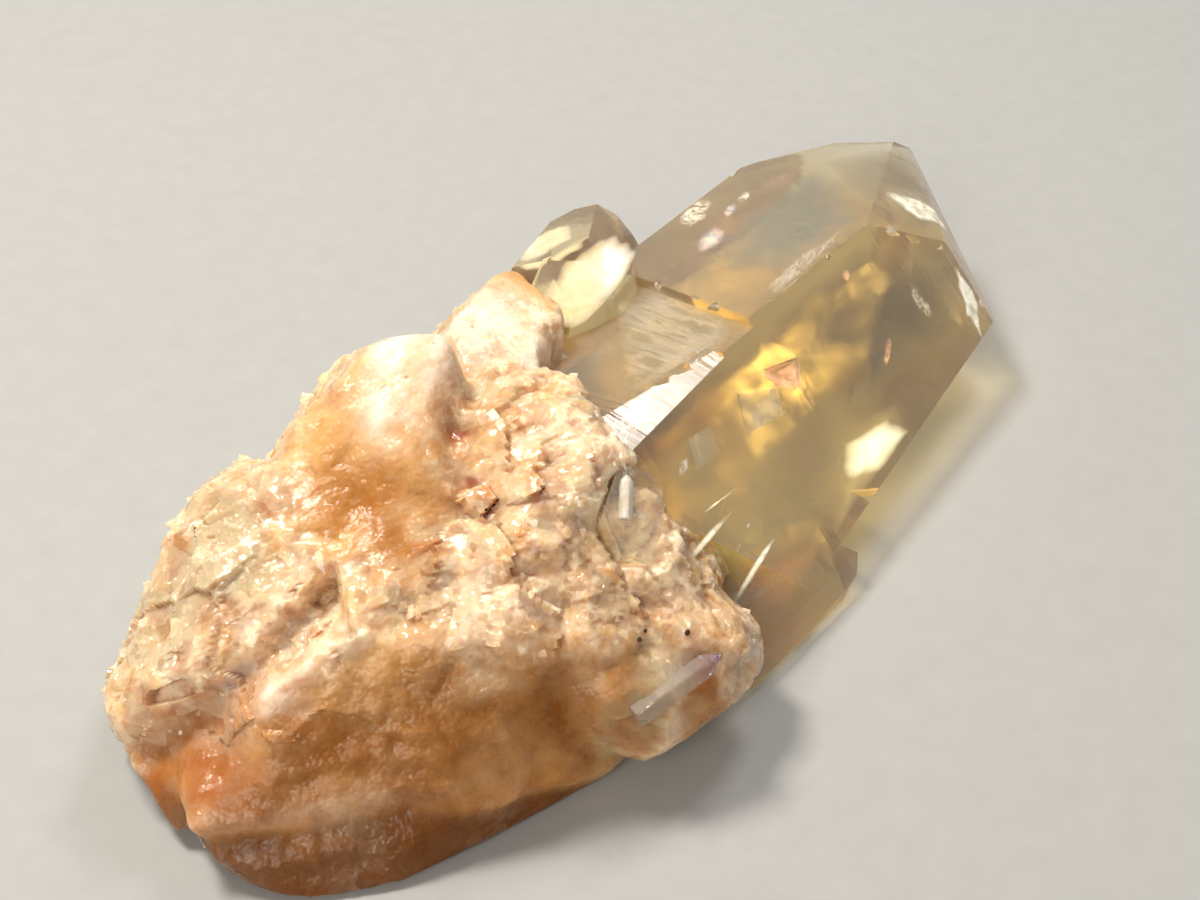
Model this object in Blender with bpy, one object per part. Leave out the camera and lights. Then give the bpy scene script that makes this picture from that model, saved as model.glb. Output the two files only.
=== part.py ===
# Citrine crystal point on a root of iron-stained milky quartz, lying on a flat underside.
# Metres in the scene, +Z up, +X from the root towards the crystal tip.
# Sizes below are in millimetres.
import itertools
import math

import bmesh
import bpy
import numpy as np
from mathutils import Vector

MM = 0.001
GAP = 0.3  # clear space between the root and the crystals set in it
CENTRE = (4.45, 3.75, 0.0)  # middle of the whole piece, moved to the origin

# Direction the crystals grew in: compass angle from +X, rise above the table, turn about the axis
GROWTH_AZIMUTH = 23.0
GROWTH_RISE = 2.0
GROWTH_TURN = 9.0
TIP_LEAN = 38.2  # lean of a quartz tip face, from the prism face under it

# Root surface: columns round it, rows along it, softness of its joins and length of its core line
ROOT_COLUMNS = 96
ROOT_ROWS = 50
ROOT_JOIN = 0.35
CORE_START = (-26.0, 2.0, 8.0)
CORE_END = (-1.0, 2.0, 8.0)
FAR = 42.0

# Each lump of the root: roundness of its edges, then its corner points
LUMPS = {
    "lower_mass": (1.3, [
        (-31, -7, 12), (-25.5, -7.5, 14.5), (-17, -11, 15.5), (-10.5, -14.7, 13), (-6, -16.8, 7.5),
        (-38, -8.5, 4.5), (-31, -11.5, 4.5), (-25, -13.5, 5), (-15, -17.3, 3.5), (-8, -17.4, 2.5),
        (-37.5, -6.5, 5), (-37, -8, 1.5), (-36, -10.5, 0.3), (-32.8, -14.8, 0), (-28.7, -16.7, 0),
        (-24.5, -16.8, 0), (-18.5, -16.5, 0), (-11, -16.6, 0), (-34, 3, 0), (-30, 10, 1),
        (2, 12, 0), (2, 10, 10), (-30, 9, 9)]),
    "left_hollow": (1.0, [
        (-38.7, 1, 4.5), (-38.3, -0.5, 3), (-38, -2.8, 1.7), (-37.7, -5.5, 1.2), (-31, -5, 10),
        (-34, -5, 6), (-34.5, 0, 7.5), (-36.5, 0.5, 6), (-36, 0, 0), (-30, 0, 0),
        (-28, 0, 10)]),
    "left_block": (1.2, [
        (-39.1, 2, 6.5), (-37.5, 4, 8.6), (-33.7, 5.2, 12), (-30.7, 7.7, 15), (-26.6, 8.2, 17.7),
        (-23.5, 6.5, 19), (-20.5, 2, 18.5), (-23.5, -3, 16.5), (-29.5, -4.5, 13.5),
        (-34.5, -3.5, 10.5), (-38, -1.5, 6), (-36, 9, 3), (-31, 14, 4), (-20, 15, 8),
        (-22, 15, 13), (-38, 4, 2), (-30, 0, 0)]),
    "knob": (1.3, [
        (-22.8, 7.5, 18.5), (-17.3, 5.8, 22.4), (-13.8, 7.4, 24.9), (-12, 7, 25.6),
        (-9, 5.2, 25.1), (-8.6, 3, 23.4), (-10, 0, 19.5), (-18, -2.5, 18), (-20.5, 1.5, 18),
        (-14, 14, 19), (-21, 12, 14), (-8, 14, 17), (-20, 8, 5), (-8, 4, 6), (-8, 14, 6)]),
    "middle": (1.2, [
        (-8.5, 4.5, 22), (-3, 2.5, 21), (-1, 0.5, 20.3), (-3.6, -5.4, 20.8), (-1.2, -7.5, 17.8),
        (-1.4, -10, 15.3), (-2, -12, 13.4), (-1, -14.2, 10.6), (-24.5, -7.5, 15.5),
        (-16.5, -11, 16), (-7.5, -16, 11), (-23, -3, 17), (-17.5, -1.5, 18.5), (-20, 8, 5),
        (9, 10, 5), (9, -6, 3), (-20, -8, 3), (0, 8, 17), (6, 14, 10), (-14, 14, 10)]),
    "front_bank": (0.9, [
        (-3, -13, 12.3), (-1, -13.5, 10.6), (3.5, -14.4, 7.6), (3.6, -15.6, 5.5), (2.5, -16.8, 4),
        (0, -17.2, 8.6), (-4, -17, 10), (-9, -16, 9), (-6, -6, 4), (3, -8, 4)]),
    "rear_bank": (1.0, [
        (-7, 10, 21.2), (-2.5, 13.2, 21.2), (2, 15.8, 20.3), (4.5, 12.8, 19.6), (0, 7, 19),
        (-8, 4.5, 20), (15, 16.8, 15.4), (15.8, 19, 15.2), (12.5, 19.6, 16.6), (-6, 20, 12),
        (6, 22.5, 12), (6, 20, 3), (-12, 17, 4), (-8, 6, 6), (10, 10, 6), (14, 20, 11)]),
    "front_ledge": (0.8, [
        (-13, -16, 9), (-11, -17.3, 10), (-4.5, -19.4, 8), (-3, -20.3, 6), (-5, -20, 4.2),
        (-9.5, -19, 2.6), (-12, -18.1, 5.5), (-13, -17.1, 7.5), (-7.5, -16.7, 10.3),
        (0, -17.3, 8), (2, -17.3, 4.5), (-6, -6, 3), (7, -4, 3), (3, -8, 7), (-8, -8, 8)]),
    "small_prism": (0.3, [
        (-8.3, -17.6, 9), (-7, -16.9, 10.6), (-3, -17.1, 10.9), (-1.6, -18, 10), (-2.9, -19, 8.8),
        (-6.8, -19.2, 7.9), (-6, -13, 5), (0, -12, 5)]),
}

# Hollows in the root: centre, radius and depth below the surface
PITS = (
    ((-36.0, -6.5, 9.5), 3.4, 1.6),
    ((-24.5, -4.0, 17.0), 2.2, 1.0),
    ((-12.0, -4.5, 19.0), 2.6, 1.1),
    ((-7.0, -9.5, 16.5), 2.4, 0.9),
    ((-9.3, 2.0, 22.0), 1.8, 1.1),
    ((-18.5, -9.0, 16.0), 2.8, 0.8),
)

# Seams and ridges along the root: points they run through, half width, depth (below zero stands up)
SEAMS = (
    ([(-9.3, 2.9, 23.5), (-11.9, -0.4, 20.5), (-12.9, -4.7, 18.3)], 1.3, 1.5),
    ([(-20.4, 0.6, 18), (-18.8, -4.8, 17.6), (-12.9, -4.7, 18.3)], 1.5, 1.0),
    ([(-37.2, -1.2, 6), (-33.7, -3.5, 10), (-29.7, -4.7, 13.2), (-24.3, -3.7, 16)], 1.5, 1.7),
    ([(-13.4, -15.4, 10), (-12.6, -18.2, 6), (-10, -19.5, 2.5)], 1.2, 1.2),
    ([(-38, -8.5, 3.6), (-31.4, -11.9, 3.2), (-25, -14, 3.2), (-15, -18, 2.2)], 1.3, 0.9),
    ([(-7.4, 8.8, 21), (-8.8, 3.5, 20.5), (-2.6, 4.2, 19.5)], 1.1, 1.1),
    ([(-21.7, -8.3, 15.5), (-15.3, -10.3, 16), (-9.5, -13.8, 13.5)], 1.6, 0.7),
    ([(-31, -7.3, 13), (-26.3, -8.2, 15.5), (-19.3, -11, 15.5)], 1.4, -0.5),
)

# Corner points of the small crystals, which lean the same way as the large one
REAR_POINT = [
    (2.8, 17.2, 19), (8.8, 21.1, 19), (11.5, 21.8, 18.8), (13.7, 21.8, 18.5), (15, 21, 17.5),
    (15.8, 19.8, 16), (16.4, 19.3, 14.5), (8.9, 15.7, 20.4), (5, 14.8, 20.4), (9.4, 14.4, 18.6),
    (3, 21.5, 9), (14.5, 22.5, 9), (16.5, 17, 8), (2, 11, 8), (12, 9, 8)]
REAR_LENS = [
    (2.2, 13.4, 19.6), (4.3, 14.9, 20.6), (10.8, 16.2, 19), (12.6, 15.2, 17.6), (11.7, 13.7, 17),
    (8.3, 11.2, 17.6), (4, 10.6, 18.6), (3, 10, 9), (12, 10, 9), (15, 16, 9), (3, 17, 10)]
LOWER_POINT = [
    (16.2, -9.4, 3.4), (17.2, -9.8, 2.6), (16.4, -10.8, 1.4), (14.6, -11.6, 0.4),
    (8.4, -12.7, 0.2), (6, -14, 0.2), (3.2, -15.4, 0.4), (1.4, -15.4, 2.6), (3, -12.2, 5.8),
    (7, -10.2, 5.8), (15, -10, 0), (8, -11.6, 0), (3, -13.8, 0), (16, -2, 0), (8, 0, 0),
    (-1, -6, 0), (-1, -8, 6), (12, -4, 5)]
STUB = [
    (-5.7, -9, 17.4), (-3.6, -7.2, 18.4), (-2.4, -6.5, 18.4), (-0.6, -7.4, 17.1),
    (-0.4, -8.3, 16.1), (-2, -10.4, 14.9), (-3.7, -11.6, 13.7), (-5.6, -11, 14.9),
    (-6, -6, 10), (1, -4, 10), (0, -9, 9), (-6, -10, 10)]

QUARTZ_COLOUR = (0.80, 0.58, 0.36, 1.0)
CITRINE_COLOUR = (0.86, 0.74, 0.36, 1.0)


def compass(azimuth, elevation):
    """Unit vector from an angle about +Z and an angle above the table."""
    turn = math.radians(azimuth)
    rise = math.radians(elevation)
    flat = math.cos(rise)
    return np.array([math.cos(turn) * flat, math.sin(turn) * flat, math.sin(rise)])


def growth_face(ring, lean):
    """Normal of a crystal face: ring turns it from the top face to the front, lean tips it."""
    along = compass(GROWTH_AZIMUTH, GROWTH_RISE)
    side = np.cross([0.0, 0.0, 1.0], along)
    side /= np.linalg.norm(side)
    upward = np.cross(along, side)
    turn = math.radians(GROWTH_TURN)
    top = upward * math.cos(turn) + side * math.sin(turn)
    front = np.cross(along, top)
    angle = math.radians(ring)
    tip = math.radians(lean)
    outward = top * math.cos(angle) + front * math.sin(angle)
    return outward * math.cos(tip) + along * math.sin(tip)


def moved(normal, point, inward):
    """A point on a face, moved inward from it."""
    return tuple(np.array(point, float) - normal * inward)


TOP = growth_face(0, 5.4)
FRONT = growth_face(60, 1.0)
BROW = (31.6, 9.0, 17.3)
FRONT_CORNER = (15.9, -9.3, 4.0)

LARGE_PRISM = [
    (TOP, BROW),
    (FRONT, FRONT_CORNER),
    (growth_face(120, 3.8), FRONT_CORNER),
    (growth_face(180, 2.0), (20.0, 0.0, 1.6)),
    (growth_face(240, 3.0), (24.0, 23.0, 7.0)),
    (compass(111.4, 21.3), (24.6, 22.3, 15.1)),
    (compass(89.8, 14.1), (30.2, 24.8, 14.7)),
    (compass(0.0, -90.0), (0.0, 0.0, 1.4)),
    (growth_face(60, 33.0), (42.3, 3.6, 6.3)),
    (growth_face(120, TIP_LEAN), (43.1, 4.5, 4.5)),
    (growth_face(180, TIP_LEAN), (40.0, 8.0, 3.0)),
    (compass(54.1, 78.5), BROW),
    (compass(-27.0, 59.5), BROW),
    (compass(62.0, 16.0), (47.1, 22.9, 10.5)),
    (compass(203.0, -42.0), (-6.0, 0.0, 16.0)),
]

# Pieces missing from the top near the foot: the lower step and the bright slope in front of it
LOWER_STEP = [
    (-TOP, moved(TOP, BROW, 0.8)),
    (compass(12.6, -1.8), (14.7, 4.2, 18.1)),
    (compass(-67.0, -20.0), (20.0, -20.0, 20.0)),
    (compass(203.0, 0.0), (-25.0, 0.0, 16.0)),
    (compass(90.0, 0.0), (0.0, 40.0, 16.0)),
    (compass(0.0, 90.0), (0.0, 0.0, 30.0)),
]
BRIGHT_SLOPE = [
    (-compass(-71.0, 77.4), (6.5, 0.6, 17.8)),
    (compass(-67.0, -20.0), (20.0, -20.0, 20.0)),
    (compass(203.0, 0.0), (-25.0, 0.0, 16.0)),
    (compass(23.0, 0.0), (11.0, 1.0, 16.0)),
    (compass(90.0, 0.0), (0.0, 20.0, 16.0)),
    (compass(0.0, 90.0), (0.0, 0.0, 30.0)),
]

# Chips broken from the large crystal, as faces of the piece that is missing
EDGE_CHIP = [
    (compass(-150.0, -35.0), (19.3, -7.9, 6.2)),
    (compass(75.0, 35.0), (18.6, -7.0, 6.6)),
    (compass(20.0, 10.0), (22.6, -6.0, 5.8)),
    (compass(-110.0, 10.0), (18.5, -14.0, 5.0)),
    (compass(-60.0, 70.0), (19.0, -9.0, 12.0)),
    (compass(0.0, -90.0), (19.0, -9.0, -2.0)),
]


def mesh_object(name, bm):
    """Object from a bmesh, with flat faces that point outward."""
    bmesh.ops.recalc_face_normals(bm, faces=bm.faces)
    mesh = bpy.data.meshes.new(name)
    bm.to_mesh(mesh)
    bm.free()
    obj = bpy.data.objects.new(name, mesh)
    bpy.context.scene.collection.objects.link(obj)
    return obj


def block_from_faces(name, faces, grow=0.0):
    """Solid bounded by flat faces, each given as a normal and a point in millimetres."""
    normals = np.array([normal for normal, point in faces])
    reach = np.array([np.dot(normal, point) for normal, point in faces]) + grow
    triples = np.array(list(itertools.combinations(range(len(faces)), 3)))
    frames = normals[triples]
    apart = np.abs(np.linalg.det(frames)) > 1e-4
    corners = np.linalg.solve(frames[apart], reach[triples[apart]][..., None])[..., 0]
    held = (corners @ normals.T <= reach + 1e-6).all(axis=1)
    corners = np.unique(np.round(corners[held], 4), axis=0)
    bm = hull_mesh(corners * MM)
    return mesh_object(name, bm)


def hull_mesh(corners):
    """Convex hull of corner points, as a bmesh of triangles."""
    bm = bmesh.new()
    for corner in corners:
        bm.verts.new(corner)
    found = bmesh.ops.convex_hull(bm, input=bm.verts)
    inner = [v for v in found["geom_interior"] if isinstance(v, bmesh.types.BMVert)]
    bmesh.ops.delete(bm, geom=inner, context="VERTS")
    bmesh.ops.recalc_face_normals(bm, faces=bm.faces)
    return bm


def hull_planes(corners):
    """Rows of normal and distance for the faces of a convex hull."""
    bm = hull_mesh(corners)
    middle = np.mean([v.co[:] for v in bm.verts], axis=0)
    rows = set()
    for face in bm.faces:
        normal = np.array(face.normal)
        distance = float(normal @ np.array(face.verts[0].co))
        if normal @ middle > distance:
            normal, distance = -normal, -distance
        rows.add(tuple(np.round(np.append(normal, distance), 3)))
    bm.free()
    return np.array(sorted(rows))


def block_from_corners(name, corners, grow=0.0):
    """Solid hull of corner points in millimetres, its faces moved out by grow."""
    rows = hull_planes(corners)
    faces = [(row[:3] / np.linalg.norm(row[:3]), row[:3] * row[3]) for row in rows]
    return block_from_faces(name, faces, grow)


def baked(obj):
    """Replaces an object's mesh by the one its modifiers make."""
    bpy.context.view_layer.update()
    graph = bpy.context.evaluated_depsgraph_get()
    mesh = bpy.data.meshes.new_from_object(obj.evaluated_get(graph))
    obj.modifiers.clear()
    obj.data = mesh


def combine(obj, other, operation):
    """Joins or cuts one closed solid with another, and removes the other."""
    other.hide_render = True
    other.display_type = "WIRE"
    modifier = obj.modifiers.new(other.name, "BOOLEAN")
    modifier.operation = operation
    modifier.solver = "EXACT"
    modifier.object = other
    baked(obj)
    bpy.data.objects.remove(other)


def crystal_group(name, grow=0.0):
    """All the crystals as one solid, their outer faces moved out by grow."""
    group = block_from_faces(name, LARGE_PRISM, grow)
    if not grow:
        for label, faces in (("step", LOWER_STEP), ("slope", BRIGHT_SLOPE), ("chip", EDGE_CHIP)):
            combine(group, block_from_faces(label, faces), "DIFFERENCE")
    for label, corners in (("rear_point", REAR_POINT), ("rear_lens", REAR_LENS),
                           ("lower_point", LOWER_POINT), ("stub", STUB)):
        combine(group, block_from_corners(label, corners, grow), "UNION")
    return group


def soft_highest(values, width):
    """Largest value in each column, rounded where two come close."""
    peak = values.max(axis=0)
    return peak + width * np.log(np.exp((values - peak) / width).sum(axis=0))


def line_distance(points, line):
    """Distance from each point to a line through several points."""
    nearest = np.full(len(points), FAR)
    for start, end in zip(line[:-1], line[1:]):
        start = np.array(start, float)
        along = np.array(end, float) - start
        share = np.clip((points - start) @ along / (along @ along), 0.0, 1.0)
        away = np.linalg.norm(points - start - share[:, None] * along, axis=1)
        nearest = np.minimum(nearest, away)
    return nearest


def root_field(points, lumps):
    """Height above the root's surface, negative inside: rounded hulls joined softly."""
    heights = []
    for width, rows in lumps:
        faces = rows[:, :3] @ points.T - rows[:, 3:4]
        heights.append(soft_highest(faces, width) - 0.5 * width)
    field = -soft_highest(-np.stack(heights), ROOT_JOIN)
    for line, width, depth in SEAMS:
        field += depth * np.exp(-(line_distance(points, line) / width) ** 2)
    for centre, radius, depth in PITS:
        away = ((points - np.array(centre)) ** 2).sum(axis=1) / radius ** 2
        field += depth * np.exp(-1.5 * away)
    return np.maximum(field, -points[:, 2])


def lattice_values(cells, seed):
    """Repeatable random value from 0 to 1 for each whole-number cell."""
    number = cells[..., 0] * 374761393 + cells[..., 1] * 668265263 + cells[..., 2] * 2147483647
    number = (number + seed * 974711) & 0xFFFFFFFF
    number = ((number ^ (number >> 13)) * 1274126177) & 0xFFFFFFFF
    return ((number ^ (number >> 16)) & 0xFFFF) / 65535.0


def value_noise(points, size, seed):
    """Smooth noise from -1 to 1 with lumps about as wide as size."""
    scaled = points / size
    cell = np.floor(scaled).astype(np.int64)
    part = scaled - cell
    part = part * part * (3.0 - 2.0 * part)
    total = np.zeros(len(points))
    for corner in range(8):
        step = np.array([corner & 1, (corner >> 1) & 1, (corner >> 2) & 1])
        weight = np.where(step == 1, part, 1.0 - part).prod(axis=1)
        total += weight * lattice_values(cell + step, seed)
    return total * 2.0 - 1.0


def root_rays(columns, rows):
    """Starts and directions that fan out from the root's core line."""
    lean = np.linspace(-np.pi / 2, np.pi / 2, rows)
    turn = np.arange(columns) / columns * 2 * np.pi
    lean, turn = np.meshgrid(lean, turn, indexing="ij")
    share = (np.sin(lean) + 1) / 2
    start = np.array(CORE_START)
    end = np.array(CORE_END)
    starts = start + (end - start) * share[..., None]
    directions = np.stack(
        [np.sin(lean), np.cos(lean) * np.cos(turn), np.cos(lean) * np.sin(turn)], axis=-1)
    return starts.reshape(-1, 3), directions.reshape(-1, 3)


def ray_lengths(starts, directions, lumps):
    """Distance along each ray to the outermost crossing of the root's surface."""
    steps = np.linspace(FAR, 0.0, 85)
    inner = np.zeros(len(starts))
    outer = np.full(len(starts), FAR)
    found = np.zeros(len(starts), bool)
    for before, step in zip(steps[:-1], steps[1:]):
        inside = (root_field(starts + directions * step, lumps) < 0) & ~found
        inner[inside] = step
        outer[inside] = before
        found |= inside
    for _ in range(14):
        middle = (inner + outer) / 2
        inside = root_field(starts + directions * middle[:, None], lumps) < 0
        inner = np.where(inside, middle, inner)
        outer = np.where(inside, outer, middle)
    return inner


def root_points(columns, rows):
    """Points of the root's surface, row by row; the first and last rows are its two poles."""
    lumps = [(width * 0.15, hull_planes(corners)) for width, corners in LUMPS.values()]
    starts, directions = root_rays(columns, rows)
    lengths = ray_lengths(starts, directions, lumps).reshape(rows, columns)
    beside = (np.roll(lengths, 1, axis=1) + np.roll(lengths, -1, axis=1)) / 2
    along = lengths.copy()
    along[1:-1] = (lengths[2:] + lengths[:-2]) / 2
    lengths = lengths * 0.6 + beside * 0.2 + along * 0.2
    points = starts + directions * lengths.reshape(-1, 1)
    bumps = value_noise(points, 5.0, 1) * 0.45 + value_noise(points, 2.6, 2) * 0.3
    bumps *= np.clip(points[:, 2] / 2.5, 0.0, 1.0)
    points = points + directions * bumps[:, None]
    points[:, 2] = np.where(points[:, 2] < 0.05, 0.0, points[:, 2])
    return points.reshape(rows, columns, 3)


def root_object(name):
    """The root as one closed mesh."""
    grid = root_points(ROOT_COLUMNS, ROOT_ROWS) * MM
    bm = bmesh.new()
    first = bm.verts.new(grid[0, 0])
    rings = [[bm.verts.new(point) for point in row] for row in grid[1:-1]]
    last = bm.verts.new(grid[-1, 0])
    for index in range(ROOT_COLUMNS):
        following = (index + 1) % ROOT_COLUMNS
        bm.faces.new((first, rings[0][index], rings[0][following]))
        bm.faces.new((last, rings[-1][following], rings[-1][index]))
        for lower, upper in zip(rings[:-1], rings[1:]):
            bm.faces.new((lower[index], upper[index], upper[following]))
            bm.faces.new((lower[index], upper[following], lower[following]))
    return mesh_object(name, bm)


def keep_largest(obj):
    """Drops loose splinters that a cut leaves beside the main body."""
    bm = bmesh.new()
    bm.from_mesh(obj.data)
    bm.verts.ensure_lookup_table()
    left = set(bm.verts)
    bodies = []
    while left:
        body = set()
        queue = [left.pop()]
        while queue:
            vertex = queue.pop()
            body.add(vertex)
            for edge in vertex.link_edges:
                other = edge.other_vert(vertex)
                if other in left:
                    left.discard(other)
                    queue.append(other)
        bodies.append(body)
    bodies.sort(key=len)
    for body in bodies[:-1]:
        bmesh.ops.delete(bm, geom=list(body), context="VERTS")
    bm.to_mesh(obj.data)
    bm.free()


def material(name, colour, roughness, transmission=0.0):
    """Principled material for one piece."""
    made = bpy.data.materials.new(name)
    made.use_nodes = True
    shader = made.node_tree.nodes["Principled BSDF"]
    shader.inputs["Base Color"].default_value = colour
    shader.inputs["Roughness"].default_value = roughness
    shader.inputs["Metallic"].default_value = 0.0
    shader.inputs["Transmission Weight"].default_value = transmission
    shader.inputs["IOR"].default_value = 1.544
    return made


def build():
    for obj in list(bpy.data.objects):
        bpy.data.objects.remove(obj)
    crystal = crystal_group("citrine_crystal")
    root = root_object("milky_quartz_root")
    combine(root, crystal_group("socket", GAP), "DIFFERENCE")
    keep_largest(root)
    for obj in (crystal, root):
        for vertex in obj.data.vertices:
            vertex.co -= Vector(CENTRE) * MM
    crystal.data.materials.clear()
    crystal.data.materials.append(material("citrine", CITRINE_COLOUR, 0.05, 1.0))
    root.data.materials.clear()
    root.data.materials.append(material("milky_quartz", QUARTZ_COLOUR, 0.4))


build()
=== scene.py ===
import math

import bmesh
import bpy
import numpy as np
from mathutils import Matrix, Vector


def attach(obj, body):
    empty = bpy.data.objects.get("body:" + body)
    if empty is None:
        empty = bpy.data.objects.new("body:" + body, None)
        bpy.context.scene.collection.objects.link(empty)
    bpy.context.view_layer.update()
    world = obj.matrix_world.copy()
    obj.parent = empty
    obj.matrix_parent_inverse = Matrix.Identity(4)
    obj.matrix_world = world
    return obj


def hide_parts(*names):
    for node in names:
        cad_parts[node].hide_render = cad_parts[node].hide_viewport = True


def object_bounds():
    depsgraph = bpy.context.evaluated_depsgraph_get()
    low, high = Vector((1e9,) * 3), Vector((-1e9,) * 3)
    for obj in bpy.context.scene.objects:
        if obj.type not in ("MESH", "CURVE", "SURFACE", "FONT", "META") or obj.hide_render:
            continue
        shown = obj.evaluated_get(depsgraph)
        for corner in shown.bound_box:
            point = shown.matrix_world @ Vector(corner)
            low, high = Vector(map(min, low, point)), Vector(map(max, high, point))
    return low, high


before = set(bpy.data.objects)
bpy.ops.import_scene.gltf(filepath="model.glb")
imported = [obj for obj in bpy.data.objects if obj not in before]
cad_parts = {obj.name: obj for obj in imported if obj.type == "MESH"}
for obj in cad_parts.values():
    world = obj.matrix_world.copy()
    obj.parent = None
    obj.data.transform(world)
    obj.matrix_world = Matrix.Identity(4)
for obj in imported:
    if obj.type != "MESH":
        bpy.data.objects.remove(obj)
PACKED_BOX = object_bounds()

MM = 0.001
QUARTZ_IOR = 1.544
CENTRE = np.array([4.45, 3.75, 0.0])
RNG = np.random.default_rng(1157)

# Direction the crystals grew in, and the turn of their faces about it
GROWTH_AZIMUTH = 23.0
GROWTH_RISE = 2.0
GROWTH_TURN = 9.0

# Root surface: columns round it, rows along it, softness of its joins and its core line
ROOT_COLUMNS = 410
ROOT_ROWS = 232
COARSE_COLUMNS = 102
COARSE_ROWS = 58
ROOT_JOIN = 0.35
CORE_START = np.array([-26.0, 2.0, 8.0])
CORE_END = np.array([-1.0, 2.0, 8.0])
FAR = 42.0
COARSE_STEPS = 85  # steps along a ray of the coarse fan
COARSE_HALVINGS = 8  # how often a ray's stretch is halved in the coarse fan
FINE_HALVINGS = 6  # and in the fine one
RAY_REACH = 1.6  # how far either side of the coarse surface the fine one is looked for
STEEP = 0.12  # a ray that differs more than this from those round it is eased
EASING_PASSES = 5
SHARP_EDGE = 34.0  # degrees between two faces of the root at which their edge stays sharp
BOX_MARGIN = 0.02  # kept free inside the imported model's box
MILK_DEPTH = 0.0019  # how far light goes into the milky root, in metres

# Each lump of the root: roundness of its edges, then its corner points
LUMPS = {
    "lower_mass": (1.3, [
        (-31, -7, 12), (-25.5, -7.5, 14.5), (-17, -11, 15.5), (-10.5, -14.7, 13), (-6, -16.8, 7.5),
        (-38, -8.5, 4.5), (-31, -11.5, 4.5), (-25, -13.5, 5), (-15, -17.3, 3.5), (-8, -17.4, 2.5),
        (-37.5, -6.5, 5), (-37, -8, 1.5), (-36, -10.5, 0.3), (-32.8, -14.8, 0), (-28.7, -16.7, 0),
        (-24.5, -16.8, 0), (-18.5, -16.5, 0), (-11, -16.6, 0), (-34, 3, 0), (-30, 10, 1),
        (2, 12, 0), (2, 10, 10), (-30, 9, 9)]),
    "left_hollow": (1.0, [
        (-38.7, 1, 4.5), (-38.3, -0.5, 3), (-38, -2.8, 1.7), (-37.7, -5.5, 1.2), (-31, -5, 10),
        (-34, -5, 6), (-34.5, 0, 7.5), (-36.5, 0.5, 6), (-36, 0, 0), (-30, 0, 0),
        (-28, 0, 10)]),
    "left_block": (1.2, [
        (-39.1, 2, 6.5), (-37.5, 4, 8.6), (-33.7, 5.2, 12), (-30.7, 7.7, 15), (-26.6, 8.2, 17.7),
        (-23.5, 6.5, 19), (-20.5, 2, 18.5), (-23.5, -3, 16.5), (-29.5, -4.5, 13.5),
        (-34.5, -3.5, 10.5), (-38, -1.5, 6), (-36, 9, 3), (-31, 14, 4), (-20, 15, 8),
        (-22, 15, 13), (-38, 4, 2), (-30, 0, 0)]),
    "knob": (1.3, [
        (-22.8, 7.5, 18.5), (-17.3, 5.8, 22.4), (-13.8, 7.4, 24.9), (-12, 7, 25.6),
        (-9, 5.2, 25.1), (-8.6, 3, 23.4), (-10, 0, 19.5), (-18, -2.5, 18), (-20.5, 1.5, 18),
        (-19.5, -3.2, 17.5), (-21.5, 1, 18), (-14, 14, 19), (-21, 12, 14), (-8, 14, 17),
        (-20, 8, 5), (-8, 4, 6), (-8, 14, 6)]),
    "knob_foot": (1.2, [
        (-24.5, 4, 18.1), (-22, 6, 18.8), (-19, 2.5, 19), (-18.3, -2.2, 18.1), (-20.5, -3.4, 17.2),
        (-23.2, -2.4, 16.9), (-25.5, 1, 17.2), (-22, 0, 11), (-20, 4, 11), (-24, 4, 12)]),
    "middle": (1.2, [
        (-8.5, 4.5, 22), (-3, 2.5, 21), (-1, 0.5, 20.3), (-3.6, -5.4, 20.8), (-1.2, -7.5, 17.8),
        (-1.4, -10, 15.3), (-2, -12, 13.4), (-1, -14.2, 10.6), (-24.5, -7.5, 15.5),
        (-16.5, -11, 16), (-7.5, -16, 11), (-23, -3, 17), (-17.5, -1.5, 18.5), (-20, 8, 5),
        (9, 10, 5), (9, -6, 3), (-20, -8, 3), (0, 8, 17), (6, 14, 10), (-14, 14, 10)]),
    "front_bank": (0.9, [
        (-3, -13, 12.3), (-1, -13.5, 10.6), (3.5, -14.4, 7.6), (3.6, -15.6, 5.5), (2.5, -16.8, 4),
        (0, -17.2, 8.6), (-4, -17, 10), (-9, -16, 9), (-6, -6, 4), (3, -8, 4)]),
    "rear_bank": (1.0, [
        (-7, 10, 21.2), (-2.5, 13.2, 21.2), (2, 15.8, 20.3), (4.5, 12.8, 19.6), (0, 7, 19),
        (-8, 4.5, 20), (15, 16.8, 15.4), (15.8, 19, 15.2), (12.5, 19.6, 16.6), (-6, 20, 12),
        (6, 22.5, 12), (6, 20, 3), (-12, 17, 4), (-8, 6, 6), (10, 10, 6), (14, 20, 11)]),
    "front_ledge": (0.8, [
        (-13, -16, 9), (-11, -17.3, 10), (-4.5, -19.4, 8), (-3, -20.3, 6), (-5, -20, 4.2),
        (-9.5, -19, 2.6), (-12, -18.1, 5.5), (-13, -17.1, 7.5), (-7.5, -16.7, 10.3),
        (0, -17.3, 8), (2, -17.3, 4.5), (-6, -6, 3), (7, -4, 3), (3, -8, 7), (-8, -8, 8)]),
}

# Hollows in the root: centre, radius and depth below the surface
PITS = (
    ((-34.6, -6.6, 9.0), 3.0, 2.2),
    ((-24.5, -4.0, 17.0), 2.2, 0.2),
    ((-12.0, -4.5, 19.0), 2.6, 1.1),
    ((-7.0, -9.5, 16.5), 2.4, 0.9),
    ((-9.3, 2.0, 22.0), 1.8, 1.1),
    ((-18.5, -9.0, 16.0), 2.8, 0.8),
)

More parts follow.
